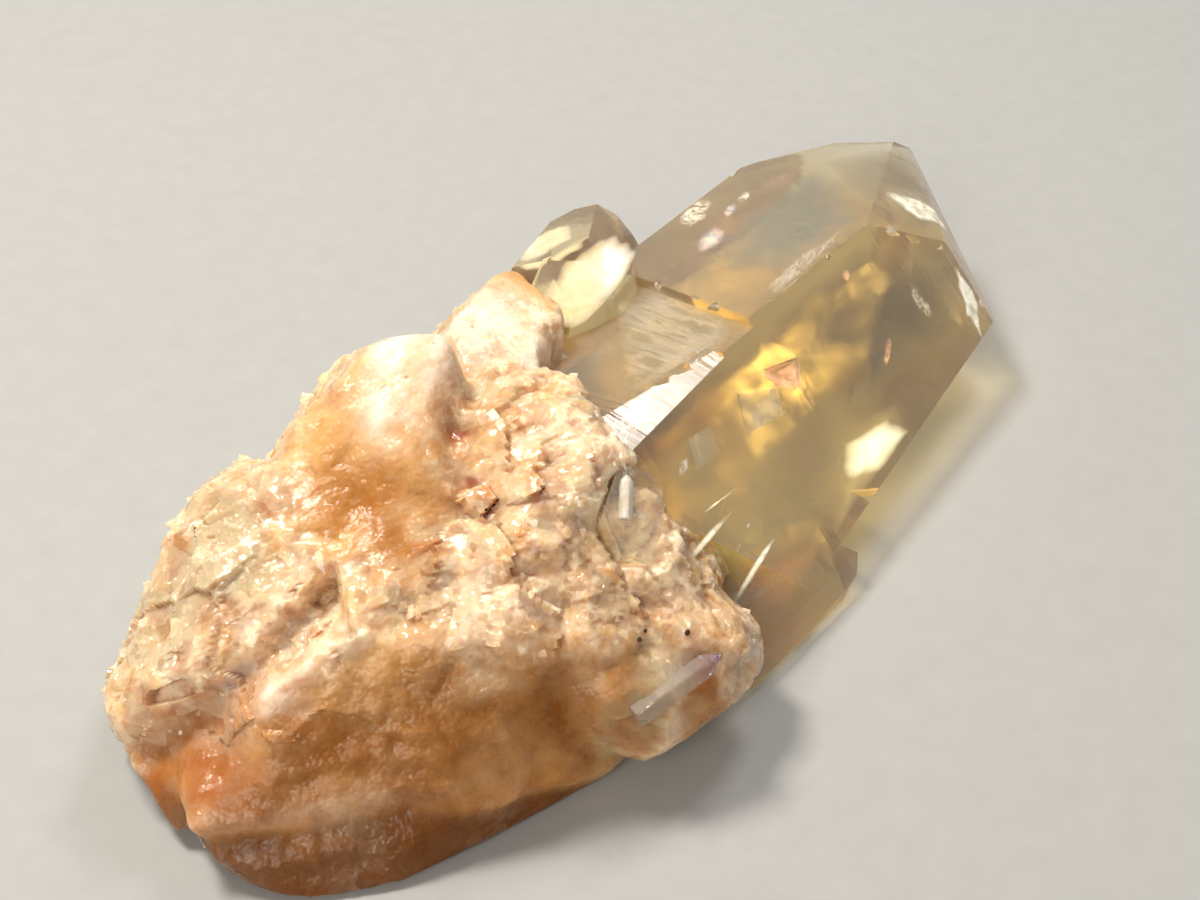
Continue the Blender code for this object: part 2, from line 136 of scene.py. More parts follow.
# Seams and ridges along the root: points they run through, half width, depth (below zero stands up)
KNOB_CRACK = [(-9.3, 2.9, 23.5), (-11.9, -0.4, 20.5), (-12.9, -4.7, 18.3)]
PALE_RIDGE = [(-31, -7.3, 13), (-26.3, -8.2, 15.5), (-19.3, -11, 15.5)]
LIP_LINE = [(-38, -8.3, 4.6), (-36, -9.6, 5), (-31.2, -11.6, 4.9), (-25, -14, 5.4),
            (-19.5, -16, 4), (-14.3, -17.2, 2.8), (-10, -18, 1)]
UNDERCUT = [(x, y, z - 1.4) for x, y, z in LIP_LINE]
LEFT_SEAM = [(-37.2, -1.2, 6), (-33.7, -3.5, 10), (-29.7, -4.7, 13.2), (-26.6, -4.0, 15)]
LEDGE_SEAM = [(-13.4, -15.4, 10), (-12.6, -18.2, 6), (-10, -19.5, 2.5)]
LOBE_LINE = [(-11.5, -18.2, 6.5), (-9, -19.4, 4.2), (-5.5, -20, 4.6), (-3, -20.2, 6.4)]
SEAMS = (
    (KNOB_CRACK, 1.3, 1.5),
    (LEFT_SEAM, 1.5, 1.4),
    (LEDGE_SEAM, 1.2, 1.2),
    (UNDERCUT, 1.1, 0.6),
    (LIP_LINE, 0.8, -0.2),
    ([(-7.4, 8.8, 21), (-8.8, 3.5, 20.5), (-2.6, 4.2, 19.5)], 1.1, 1.1),
    ([(-21.7, -8.3, 15.5), (-15.3, -10.3, 16), (-9.5, -13.8, 13.5)], 1.6, 0.7),
    (PALE_RIDGE, 0.9, -0.7),
)

# Places on the root, each a centre and a radius, where its finish changes
WAXY = [
    (-12.0, 6.0, 24.5, 5.0), (-15.5, 4.0, 21.5, 4.8), (-18.5, 3.0, 19.5, 4.2),
    (-19.5, 0.5, 18.0, 3.6), (-16.5, -1.0, 18.6, 3.0), (-27.0, 5.0, 17.0, 2.4),
    (-33.5, -10.0, 5.0, 5.0), (-28.0, -11.0, 9.0, 5.2), (-22.0, -13.5, 9.0, 5.6),
    (-15.0, -15.5, 8.5, 5.6), (-9.0, -17.5, 7.0, 4.6), (-5.0, -18.5, 7.0, 4.0),
    (-24.0, -16.0, 2.0, 6.0), (-14.0, -17.5, 2.0, 6.0), (-33.0, -14.0, 1.0, 5.0),
    (-3.7, 10.8, 20.5, 3.6), (1.5, 14.5, 19.8, 3.8), (-1.8, 7.4, 19.4, 2.6),
    (-8.0, -16.2, 10.6, 1.8), (-20.6, -0.6, 17.6, 2.6), (-18.4, -4.2, 17.2, 2.4),
    (-37.0, -4.5, 4.0, 3.6), (-30.0, -8.5, 12.0, 3.0), (-23.0, -10.5, 13.0, 3.0),
]
# Iron stains. The first three spots darken the shaded left hollow: painted shade over its orange stain
STAIN_AND_HOLLOW_SHADE = [
    (-34.2, -5.6, 8.2, 3.4), (-31.8, -5.0, 10.6, 2.4), (-35.5, -7.0, 6.6, 2.8),
    (-14.5, -3.0, 18.4, 1.3), (-17.5, -5.2, 17.2, 1.0),
    (-24.0, 3.0, 18.3, 1.5), (-9.0, -6.5, 18.6, 1.4), (-5.0, -10.8, 15.6, 1.4),
    (-34.0, -2.6, 7.6, 2.6), (-36.4, -2.6, 4.8, 3.2), (-37.0, -0.1, 8.6, 1.8),
    (-33.8, -1.1, 11.5, 1.3), (15.5, 17.5, 15.8, 2.2), (-22.9, 7.0, 18.5, 1.4),
    (-26.9, -3.6, 13.4, 1.5), (-21.5, -3.0, 15.8, 1.3), (-12.6, -4.4, 18.4, 1.2),
    (-36.5, 6.0, 6.0, 2.4), (-30.5, -1.0, 14.2, 1.4), (-15.0, 14.0, 16.0, 2.4),
]
AMBER = [
    (-20.8, -13.5, 9.7, 6.5), (-14.5, -15.4, 9.0, 5.0),
    (-8.3, -16.8, 9.6, 3.0), (-27.0, -12.3, 8.5, 4.0), (-12.0, -17.5, 5.0, 4.0),
    (-10.0, 15.0, 12.0, 5.0), (-28.0, 9.0, 5.0, 5.0), (-30.6, -11.2, 8.0, 3.4),
    # The first spot on the next line darkens the shaded left hollow: painted shade
    (-34.2, -4.6, 8.2, 3.0), (-25.0, -14.0, 5.0, 4.0), (-33.0, -10.0, 6.5, 3.4),
    (-36.0, -9.5, 5.0, 2.4), (-28.0, -13.0, 5.2, 3.0),
]
TAN = [(-18.7, 1.2, 19.0, 3.6), (-16.5, -1.5, 18.6, 3.0), (-19.0, -3.5, 17.4, 2.4)]
PALE = [
    (-2.6, -5.4, 19.4, 3.0), (-2.8, -10.8, 14.6, 2.8), (-5.6, -9.0, 16.8, 2.6),
    (-34.0, -0.5, 10.8, 2.2),
    (-30.4, -6.8, 11.7, 1.8), (-27.6, -7.2, 13.2, 1.6),
    (-25.4, -7.6, 14.2, 1.6),
    (-11.6, 5.9, 24.6, 4.6), (-15.2, 3.4, 22.2, 3.0),
    (-3.7, 10.8, 20.5, 5.0), (-1.8, 7.4, 19.4, 4.0),
    (-26.5, -3.0, 13.9, 2.6), (-17.0, -10.6, 15.2, 2.6), (-2.1, -14.3, 11.4, 1.6),
    (-6.0, -4.0, 20.0, 2.6), (3.0, 20.0, 14.0, 5.0),
]
GLASSY = [
    (-29.9, 4.0, 15.0, 4.0), (-32.8, 1.7, 12.8, 3.6), (-26.3, 4.6, 17.2, 3.0),
    (-6.3, -17.6, 9.8, 2.4), (-8.5, -18.6, 6.0, 3.0), (-34.0, 6.0, 8.0, 4.0),
]
RED = [(-16.4, -7.3, 17.2, 0.55), (-11.5, -0.2, 20.2, 0.6), (-12.2, -2.4, 19.2, 0.5)]
PURPLE = [(-31.3, -3.3, 10.6, 1.2), (-4.6, -17.8, 10.2, 1.6)]

# Black grains on the brown window: place and size of each
BLACK = [(-6.9, -15.4, 11.3, 0.38), (-6.3, -15.1, 11.6, 0.34), (-3.4, -16.0, 10.7, 0.45)]


def compass(azimuth, elevation):
    """Unit vector from an angle about +Z and an angle above the table."""
    turn = math.radians(azimuth)
    rise = math.radians(elevation)
    flat = math.cos(rise)
    return np.array([math.cos(turn) * flat, math.sin(turn) * flat, math.sin(rise)])


def growth_face(ring, lean):
    """Normal of a crystal face: ring turns it from the top face to the front, lean tips it."""
    side = np.cross([0.0, 0.0, 1.0], GROWTH)
    side /= np.linalg.norm(side)
    upward = np.cross(GROWTH, side)
    turn = math.radians(GROWTH_TURN)
    top = upward * math.cos(turn) + side * math.sin(turn)
    front = np.cross(GROWTH, top)
    angle = math.radians(ring)
    tip = math.radians(lean)
    outward = top * math.cos(angle) + front * math.sin(angle)
    return outward * math.cos(tip) + GROWTH * math.sin(tip)


GROWTH = compass(GROWTH_AZIMUTH, GROWTH_RISE)
TOP = growth_face(0, 5.4)
FRONT = growth_face(60, 1.0)
BROW = (31.6, 9.0, 17.3)
FRONT_CORNER = (15.9, -9.3, 4.0)
LARGE_PRISM = [
    (TOP, BROW),
    (FRONT, FRONT_CORNER),
    (growth_face(120, 3.8), FRONT_CORNER),
    (growth_face(180, 2.0), (20.0, 0.0, 1.6)),
    (growth_face(240, 3.0), (24.0, 23.0, 7.0)),
    (compass(111.4, 21.3), (24.6, 22.3, 15.1)),
    (compass(89.8, 14.1), (30.2, 24.8, 14.7)),
    (growth_face(60, 33.0), (42.3, 3.6, 6.3)),
    (compass(54.1, 78.5), BROW),
    (compass(-27.0, 59.5), BROW),
    (compass(203.0, -42.0), (-6.0, 0.0, 16.0)),
]

# Corner points of the small crystals, which lean the same way as the large one
REAR_POINT = [
    (2.8, 17.2, 19), (8.8, 21.1, 19), (11.5, 21.8, 18.8), (13.7, 21.8, 18.5), (15, 21, 17.5),
    (15.8, 19.8, 16), (16.4, 19.3, 14.5), (8.9, 15.7, 20.4), (5, 14.8, 20.4), (9.4, 14.4, 18.6),
    (3, 21.5, 9), (14.5, 22.5, 9), (16.5, 17, 8), (2, 11, 8), (12, 9, 8)]
REAR_LENS = [
    (2.2, 13.4, 19.6), (4.3, 14.9, 20.6), (10.8, 16.2, 19), (12.6, 15.2, 17.6), (11.7, 13.7, 17),
    (8.3, 11.2, 17.6), (4, 10.6, 18.6), (3, 10, 9), (12, 10, 9), (15, 16, 9), (3, 17, 10)]
LOWER_POINT = [
    (16.2, -9.4, 3.4), (17.2, -9.8, 2.6), (16.4, -10.8, 1.4), (14.6, -11.6, 0.4),
    (8.4, -12.7, 0.2), (6, -14, 0.2), (3.2, -15.4, 0.4), (1.4, -15.4, 2.6), (3, -12.2, 5.8),
    (7, -10.2, 5.8), (15, -10, 0), (8, -11.6, 0), (3, -13.8, 0), (16, -2, 0), (8, 0, 0),
    (-1, -6, 0), (-1, -8, 6), (12, -4, 5)]
STUB = [
    (-5.7, -9, 17.4), (-3.6, -7.2, 18.4), (-2.4, -6.5, 18.4), (-0.6, -7.4, 17.1),
    (-0.4, -8.3, 16.1), (-2, -10.4, 14.9), (-3.7, -11.6, 13.7), (-5.6, -11, 14.9),
    (-6, -6, 10), (1, -4, 10), (0, -9, 9), (-6, -10, 10)]
LEDGE_PRISM_START = np.array([-9.4, -18.52, 7.75])
LEDGE_PRISM_END = np.array([-2.5, -18.25, 9.45])
LEDGE_PRISM_RADIUS = 0.95
STUB_ROD_START = np.array([-4.3, -9.3, 16.1])
STUB_ROD_END = np.array([-2.6, -7.0, 17.9])
STUB_ROD_RADIUS = 0.62
EASED_EDGE = 0.00014  # width in metres of the bevel along a rod's edges
CRUMBS = 900
CRUMB_SIZES = (0.3, 0.95)  # smallest and largest
CRYSTAL_CLEARANCE = 0.2  # bare space round a crystal
STUB_MILK = 0.6  # how far below the stub's faces its milky foot begins


def rod_corners(start, end, radius):
    """Corners of a six-sided rod with a short point at its end."""
    along = (end - start) / np.linalg.norm(end - start)
    side = np.cross(along, [0.0, 0.0, 1.0])
    side /= np.linalg.norm(side)
    turn = np.arange(6)[:, None] / 6 * 2 * np.pi
    ring = (np.cos(turn) * side + np.sin(turn) * np.cross(side, along)) * radius
    return [tuple(corner) for corner in
            np.concatenate([start + ring, end - along * radius + ring, end + ring * 0.25])]


def hull_mesh(corners):
    """Convex hull of corner points, as a bmesh of triangles."""
    bm = bmesh.new()
    for corner in corners:
        bm.verts.new(corner)
    found = bmesh.ops.convex_hull(bm, input=bm.verts)
    inner = [v for v in found["geom_interior"] if isinstance(v, bmesh.types.BMVert)]
    bmesh.ops.delete(bm, geom=inner, context="VERTS")
    bmesh.ops.recalc_face_normals(bm, faces=bm.faces)
    return bm


def hull_planes(corners):
    """Rows of normal and distance for the faces of a convex hull."""
    bm = hull_mesh(corners)
    middle = np.mean([v.co[:] for v in bm.verts], axis=0)
    rows = set()
    for face in bm.faces:
        normal = np.array(face.normal)
        distance = float(normal @ np.array(face.verts[0].co))
        if normal @ middle > distance:
            normal, distance = -normal, -distance
        rows.add(tuple(np.round(np.append(normal, distance), 3)))
    bm.free()
    return np.array(sorted(rows))


def soft_highest(values, width):
    """Largest value in each column, rounded where two come close."""
    peak = values.max(axis=0)
    return peak + width * np.log(np.exp((values - peak) / width).sum(axis=0))


def line_distance(points, line):
    """Distance from each point to a line through several points."""
    nearest = np.full(len(points), FAR)
    for start, end in zip(line[:-1], line[1:]):
        start = np.array(start, float)
        along = np.array(end, float) - start
        share = np.clip((points - start) @ along / (along @ along), 0.0, 1.0)
        away = np.linalg.norm(points - start - share[:, None] * along, axis=1)
        nearest = np.minimum(nearest, away)
    return nearest


def crystal_field(points):
    """Height above the crystals' faces, negative inside them."""
    field = np.full(len(points), FAR)
    for rows in CRYSTAL_ROWS:
        field = np.minimum(field, (rows[:, :3] @ points.T - rows[:, 3:4]).max(axis=0))
    return field


def root_field(points, lumps):
    """Height above the root's surface, negative inside: rounded hulls joined softly, less the
    seams, the hollows and the room that the crystals take."""
    heights = []
    for width, rows in lumps:
        faces = rows[:, :3] @ points.T - rows[:, 3:4]
        heights.append(soft_highest(faces, width) - 0.5 * width)
    field = -soft_highest(-np.stack(heights), ROOT_JOIN)
    for line, width, depth in SEAMS:
        field += depth * np.exp(-(line_distance(points, line) / width) ** 2)
    for centre, radius, depth in PITS:
        away = ((points - np.array(centre)) ** 2).sum(axis=1) / radius ** 2
        field += depth * np.exp(-1.5 * away)
    room = CRYSTAL_CLEARANCE - crystal_field(points)
    stub = (STUB_ROWS[:, :3] @ points.T - STUB_ROWS[:, 3:4]).max(axis=0)
    room = np.where(stub < 0.3, np.minimum(room, stub + STUB_MILK), room)
    return np.maximum(np.maximum(field, room), -points[:, 2])


# Large odd numbers that scatter neighbouring cells and seeds to unlike values
SCATTER = (374761393, 668265263, 2147483647, 974711, 1274126177)


def lattice_values(cells, seed):
    """Repeatable random value from 0 to 1 for each whole-number cell."""
    number = cells[..., 0] * SCATTER[0] + cells[..., 1] * SCATTER[1] + cells[..., 2] * SCATTER[2]
    number = (number + seed * SCATTER[3]) & 0xFFFFFFFF
    number = ((number ^ (number >> 13)) * SCATTER[4]) & 0xFFFFFFFF
    return ((number ^ (number >> 16)) & 0xFFFF) / 65535.0


def value_noise(points, size, seed):
    """Smooth noise from -1 to 1 with lumps about as wide as size."""
    scaled = points / size
    cell = np.floor(scaled).astype(np.int64)
    part = scaled - cell
    part = part * part * (3.0 - 2.0 * part)
    total = np.zeros(len(points))
    for corner in range(8):
        step = np.array([corner & 1, (corner >> 1) & 1, (corner >> 2) & 1])
        weight = np.where(step == 1, part, 1.0 - part).prod(axis=1)
        total += weight * lattice_values(cell + step, seed)
    return total * 2.0 - 1.0


def facets(points, size, seed):
    """Height of small tilted faces: each point takes the nearest jittered cell, whose face
    leans by its own random slope. Values run from about -1 to 1."""
    scaled = points / size
    cell = np.floor(scaled).astype(np.int64)
    nearest = np.full(len(points), 9.0)
    height = np.zeros(len(points))
    for corner in range(27):
        step = np.array([corner % 3, corner // 3 % 3, corner // 9]) - 1
        here = cell + step
        centre = here + np.stack(
            [lattice_values(here, seed + axis) for axis in range(3)], axis=1)
        offset = scaled - centre
        away = (offset ** 2).sum(axis=1)
        slope = np.stack([lattice_values(here, seed + 3 + axis) for axis in range(3)], axis=1)
        level = ((slope * 2 - 1) * offset).sum(axis=1) * 1.3
        level += (lattice_values(here, seed + 7) - 0.5) * 0.9
        closer = away < nearest
        height = np.where(closer, level, height)
        nearest = np.where(closer, away, nearest)
    return height


def near(points, spots):
    """Share from 0 to 1 by how close each point is to any of the spots."""
    clear = np.ones(len(points))
    for x, y, z, radius in spots:
        away = ((points - np.array([x, y, z])) ** 2).sum(axis=1) / radius ** 2
        clear *= 1.0 - np.exp(-1.2 * away ** 1.5)
    return 1.0 - clear


def beside(points, line, width):
    """Share from 0 to 1 by how close each point is to a line."""
    return np.exp(-(line_distance(points, line) / width) ** 2)


def step_up(values, low, high):
    """Smooth rise from 0 at low to 1 at high."""
    part = np.clip((values - low) / (high - low), 0.0, 1.0)
    return part * part * (3.0 - 2.0 * part)


def root_rays(columns, rows):
    """Starts and directions that fan out from the root's core line."""
    lean = np.linspace(-np.pi / 2, np.pi / 2, rows)
    turn = np.arange(columns) / columns * 2 * np.pi
    lean, turn = np.meshgrid(lean, turn, indexing="ij")
    share = (np.sin(lean) + 1) / 2
    starts = CORE_START + (CORE_END - CORE_START) * share[..., None]
    directions = np.stack(
        [np.sin(lean), np.cos(lean) * np.cos(turn), np.cos(lean) * np.sin(turn)], axis=-1)
    return starts.reshape(-1, 3), directions.reshape(-1, 3)


def halve(starts, directions, lumps, inner, outer, times):
    """Narrows the stretch of each ray in which it leaves the root."""
    for _ in range(times):
        middle = (inner + outer) / 2
        inside = root_field(starts + directions * middle[:, None], lumps) < 0
        inner = np.where(inside, middle, inner)
        outer = np.where(inside, outer, middle)
    return inner


def coarse_lengths(lumps):
    """Length of each ray of a coarse fan, to the outermost crossing of the surface."""
    starts, directions = root_rays(COARSE_COLUMNS, COARSE_ROWS)
    steps = np.linspace(FAR, 0.0, COARSE_STEPS)
    inner = np.zeros(len(starts))
    outer = np.full(len(starts), FAR)
    found = np.zeros(len(starts), bool)
    for before, step in zip(steps[:-1], steps[1:]):
        inside = (root_field(starts + directions * step, lumps) < 0) & ~found
        inner[inside] = step
        outer[inside] = before
        found |= inside
    lengths = halve(starts, directions, lumps, inner, outer, COARSE_HALVINGS)
    return lengths.reshape(COARSE_ROWS, COARSE_COLUMNS)


def stretched(grid, rows, columns):
    """A grid of values that wraps round its columns, read at more rows and columns."""
    row = np.linspace(0, grid.shape[0] - 1, rows)
    column = np.arange(columns) / columns * grid.shape[1]
    low = np.minimum(row.astype(int), grid.shape[0] - 2)
    left = column.astype(int)
    up = (row - low)[:, None]
    along = (column - left)[None, :]
    right = (left + 1) % grid.shape[1]
    near_row = grid[low][:, left] * (1 - along) + grid[low][:, right] * along
    next_row = grid[low + 1][:, left] * (1 - along) + grid[low + 1][:, right] * along
    return near_row * (1 - up) + next_row * up


def inside_box(points):
    """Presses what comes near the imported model's box softly back, so that nothing passes it."""
    low = np.array(PACKED_BOX[0]) / MM + CENTRE + BOX_MARGIN
    high = np.array(PACKED_BOX[1]) / MM + CENTRE - BOX_MARGIN
    low[2] = -1.0
    for sign, edge in ((1, high), (-1, low)):
        over = sign * (points - edge) + 1.0
        pressed = edge + sign * (np.tanh(np.maximum(over, 0.0)) - 1.0)
        points = np.where(over > 0, pressed, points)
    return points


def root_surface():
    """Points of the root's surface: rays fan out from its core line to the edge of the joined
    lumps, then the surface moves out and in by faceted grains, ripples and soft noise."""
    lumps = [(width * 0.15, hull_planes(corners)) for width, corners in LUMPS.values()]
    coarse = coarse_lengths(lumps)
    guess = stretched(coarse, ROOT_ROWS, ROOT_COLUMNS).reshape(-1)
    starts, directions = root_rays(ROOT_COLUMNS, ROOT_ROWS)
    lengths = halve(starts, directions, lumps, guess - RAY_REACH, guess + RAY_REACH,
                    FINE_HALVINGS)
    lengths = lengths.reshape(ROOT_ROWS, ROOT_COLUMNS)
    lengths = (lengths * 2 + np.roll(lengths, 1, axis=1) + np.roll(lengths, -1, axis=1)) / 4
    lengths[1:-1] = (lengths[1:-1] * 2 + lengths[2:] + lengths[:-2]) / 4
    for _ in range(EASING_PASSES):
        around = (np.roll(lengths, 1, axis=1) + np.roll(lengths, -1, axis=1)) / 2
        around[1:-1] = (around[1:-1] * 2 + lengths[2:] + lengths[:-2]) / 4
        lengths = np.where(np.abs(around - lengths) > STEEP, around, lengths)
    points = starts + directions * lengths.reshape(-1, 1)
    bumps = value_noise(points, 5.0, 1) * 0.26 + value_noise(points, 2.6, 2) * 0.12
    sugar = 1.0 - near(points, WAXY)
    glassy = near(points, GLASSY)
    blocks = facets(points, 3.6, 37) * 0.5
    chunks = facets(points + value_noise(points, 2.0, 9)[:, None] * 0.4, 4.8, 51)
    bumps += chunks * (0.16 + 0.22 * sugar)
    ripples = np.sin(line_distance(points, LIP_LINE) * 2.6 + value_noise(points, 3.0, 5) * 2.0)
    grains = facets(points, 2.4, 11) * 0.22 + facets(points, 1.2, 23) * 0.13
    grains -= 0.4 * step_up(value_noise(points, 2.0, 61), 0.2, 0.8)
    grains *= (0.3 + 0.7 * step_up(value_noise(points, 6.0, 88), -0.5, 0.3)) * (1 - 0.5 * glassy)
    relief = grains * sugar + blocks * glassy * 0.8
    bumps += relief
    bumps += ripples * 0.07 * beside(points, LIP_LINE, 4.0) * (1 - sugar)
    bumps += 0.16 * np.sin(line_distance(points, LOBE_LINE) * 4.5) * beside(points, LOBE_LINE, 2.2)
    bumps += value_noise(points, 1.3, 6) * 0.07 + value_noise(points, 0.7, 7) * 0.05 * sugar
    crack = value_noise(points, 1.2, 8) * 0.35
    bumps -= 0.75 * np.exp(-((line_distance(points, KNOB_CRACK) + crack) / 0.5) ** 2)
    bumps -= 0.5 * np.exp(-((line_distance(points, LEFT_SEAM) + crack) / 0.5) ** 2)
    bumps *= np.clip(points[:, 2] / 2.0, 0.0, 1.0)
    points = points + directions * bumps[:, None]
    points = inside_box(points)
    points[:, 2] = np.where(points[:, 2] < 0.05, 0.0, points[:, 2])
    return points, relief


LEDGE_PRISM = rod_corners(LEDGE_PRISM_START, LEDGE_PRISM_END, LEDGE_PRISM_RADIUS)
CRYSTAL_ROWS = [np.array([np.append(normal, np.dot(normal, point)) for normal, point in LARGE_PRISM])]
CRYSTAL_ROWS += [hull_planes(corners)
                 for corners in (REAR_POINT, REAR_LENS, LOWER_POINT, STUB)]
STUB_ROWS = CRYSTAL_ROWS[4]


def mesh_piece(name, corners, faces):
    """Object made of millimetre corners and faces, with its place in its mesh."""
    mesh = bpy.data.meshes.new(name)
    mesh.from_pydata(((corners - CENTRE) * MM).tolist(), [], faces)
    mesh.validate()
    mesh.update()
    piece = bpy.data.objects.new(name, mesh)
    bpy.context.scene.collection.objects.link(piece)
    return piece


def wrapped_faces(rows, columns):
    """Corner numbers of a grid that closes round its columns and ends in two poles."""
    first = np.arange(rows - 3)[:, None] * columns + 1
    across = np.arange(columns)[None, :]
    beside_it = (across + 1) % columns
    quads = np.stack([first + across, first + columns + across,
                      first + columns + beside_it, first + beside_it], axis=-1)
    ring = np.arange(columns)
    following = (ring + 1) % columns
    last = (rows - 3) * columns + 1
    start_cap = np.stack([np.zeros(columns, int), 1 + ring, 1 + following], axis=-1)
    end_cap = np.stack([np.full(columns, last + columns), last + following, last + ring], axis=-1)
    return quads.reshape(-1, 4).tolist() + start_cap.tolist() + end_cap.tolist()


def shades(piece, name, columns):
    """Keeps four shares from 0 to 1 at each point of a piece, for its material to read."""
    made = piece.data.color_attributes.new(name, "FLOAT_COLOR", "POINT")
    made.data.foreach_set("color", np.stack(columns, axis=1).astype(np.float32).ravel())


def root_piece():
    """The milky root, with its finish written at each point."""
    points, relief = root_surface()
    keep = np.concatenate([[0], np.arange(ROOT_COLUMNS, len(points) - ROOT_COLUMNS),
                           [len(points) - 1]])
    points = points[keep]
    relief = relief[keep]
    piece = mesh_piece("milky_quartz", points, wrapped_faces(ROOT_ROWS, ROOT_COLUMNS))
    outward(piece)
    piece.data.polygons.foreach_set("use_smooth", np.ones(len(piece.data.polygons), bool))
    piece.data.set_sharp_from_angle(angle=math.radians(SHARP_EDGE))
    finish_shares(piece, points, relief)
    return piece


def finish_shares(piece, points, relief):
    """Writes how stained or shaded, amber, pale, glassy, sugary, low under the lip, red and purple
    each point is. The hollows between the grains darken, iron stain with painted shade, and
    their tops stay pale, a painted highlight; along the undercut the darkening is painted shade."""
    wander = np.stack([value_noise(points, 2.2, seed) + 0.6 * value_noise(points, 0.9, seed + 9)
                       for seed in (31, 32, 33)], axis=1)
    loose = points + wander * 1.2
    stain_and_shade = near(loose, STAIN_AND_HOLLOW_SHADE) + 0.8 * beside(loose, KNOB_CRACK, 0.9)
    # Painted shade along the undercut below the lip; in the hollows between the grains, painted shade
    # with iron stain
    stain_and_shade += 0.4 * beside(loose, UNDERCUT, 0.9) + 0.6 * step_up(-relief, 0.06, 0.32)
    amber = np.maximum(near(loose, AMBER), 0.55 * near(loose, TAN))
    pale = np.maximum(near(loose, PALE), beside(points, PALE_RIDGE, 1.2))
    lip_share = 0.2 * step_up(-points[:, 0], 20.0, 30.0)
    pale = np.maximum(pale, lip_share * beside(points, LIP_LINE, 0.9))
    amber = np.maximum(amber, 0.7 * step_up(value_noise(loose, 4.2, 91), 0.25, 0.75))
    tint = (facets(loose, 2.4, 71) + 0.7 * value_noise(points, 5.5, 77)) * (1.0 - near(loose, WAXY))
    stain_and_shade += 0.45 * step_up(value_noise(loose, 3.4, 78), 0.2, 0.8) * (1.0 - near(loose, WAXY))
    # Grain tops lighter: painted highlight
    pale = np.clip(pale + 0.5 * step_up(relief, 0.02, 0.22) + 0.45 * step_up(tint, 0.2, 0.9), 0, 1)
    glassy = np.clip(near(loose, GLASSY) + 0.6 * step_up(-tint, 0.2, 0.8), 0, 1)
    # Below the lip line: painted shade under the overhang
    lip = np.array(LIP_LINE)
    under = step_up(np.interp(points[:, 0], lip[:, 0], lip[:, 2]) - points[:, 2], 0.5, 1.8)
    shades(piece, "tints", [np.clip(stain_and_shade, 0, 1), amber, pale, glassy])
    shades(piece, "grains", [1.0 - near(loose, WAXY), np.clip(under, 0, 1),
                             near(loose, RED), near(loose, PURPLE)])


def colour_node(tree, first, second, share):
    """Mix of two colours by a share. Each may be a colour or an output."""
    made = tree.nodes.new("ShaderNodeMix")
    made.data_type = "RGBA"
    for socket, value in ((made.inputs[6], first), (made.inputs[7], second), (made.inputs[0], share)):
        if isinstance(value, bpy.types.NodeSocket):
            tree.links.new(value, socket)
        elif isinstance(value, tuple):
            socket.default_value = value + (1.0,)
        else:
            socket.default_value = value
    return made.outputs[2]


def sum_node(tree, kind, first, second=0.0, third=0.0):
    """Math node on numbers or outputs."""
    made = tree.nodes.new("ShaderNodeMath")
    made.operation = kind
    for socket, value in zip(made.inputs, (first, second, third)):
        if isinstance(value, bpy.types.NodeSocket):
            tree.links.new(value, socket)
        else:
            socket.default_value = value
    return made.outputs[0]


def range_node(tree, value, low, high, to_low=0.0, to_high=1.0):
    """Value moved from one range to another, and held inside it."""
    made = tree.nodes.new("ShaderNodeMapRange")
    tree.links.new(value, made.inputs["Value"])
    for label, number in (("From Min", low), ("From Max", high), ("To Min", to_low),
                          ("To Max", to_high)):
        made.inputs[label].default_value = number
    return made.outputs["Result"]


def noise_node(tree, place, scale, detail=3.0, roughness=0.55, distortion=0.0):
    """Noise at a number of lumps per metre."""
    made = tree.nodes.new("ShaderNodeTexNoise")
    tree.links.new(place, made.inputs["Vector"])
    made.inputs["Scale"].default_value = scale
    made.inputs["Detail"].default_value = detail
    made.inputs["Roughness"].default_value = roughness
    made.inputs["Distortion"].default_value = distortion
    return made.outputs["Fac"]


def bump_node(tree, height, strength, distance, normal=None):
    """Bump from a height output."""
    made = tree.nodes.new("ShaderNodeBump")
    made.inputs["Strength"].default_value = strength
    made.inputs["Distance"].default_value = distance
    tree.links.new(height, made.inputs["Height"])
    if normal is not None:
        tree.links.new(normal, made.inputs["Normal"])
    return made.outputs["Normal"]


def place_node(tree):
    """Object coordinates."""
    return tree.nodes.new("ShaderNodeTexCoord").outputs["Object"]


def share_nodes(tree, name):
    """The four shares of an attribute."""
    read = tree.nodes.new("ShaderNodeAttribute")
    read.attribute_name = name
    split = tree.nodes.new("ShaderNodeSeparateColor")
    tree.links.new(read.outputs["Color"], split.inputs[0])
    return list(split.outputs) + [read.outputs["Alpha"]]


def new_material(name):
    """Material with its Principled shader."""
    made = bpy.data.materials.new(name)
    made.use_nodes = True
    return made, made.node_tree, made.node_tree.nodes["Principled BSDF"]


def clear_quartz(shader, transmission):
    """Sets how far a quartz shader lets light through, and how it bends it."""
    shader.inputs["Transmission Weight"].default_value = transmission
    shader.inputs["IOR"].default_value = QUARTZ_IOR
    shader.inputs["Metallic"].default_value = 0.0


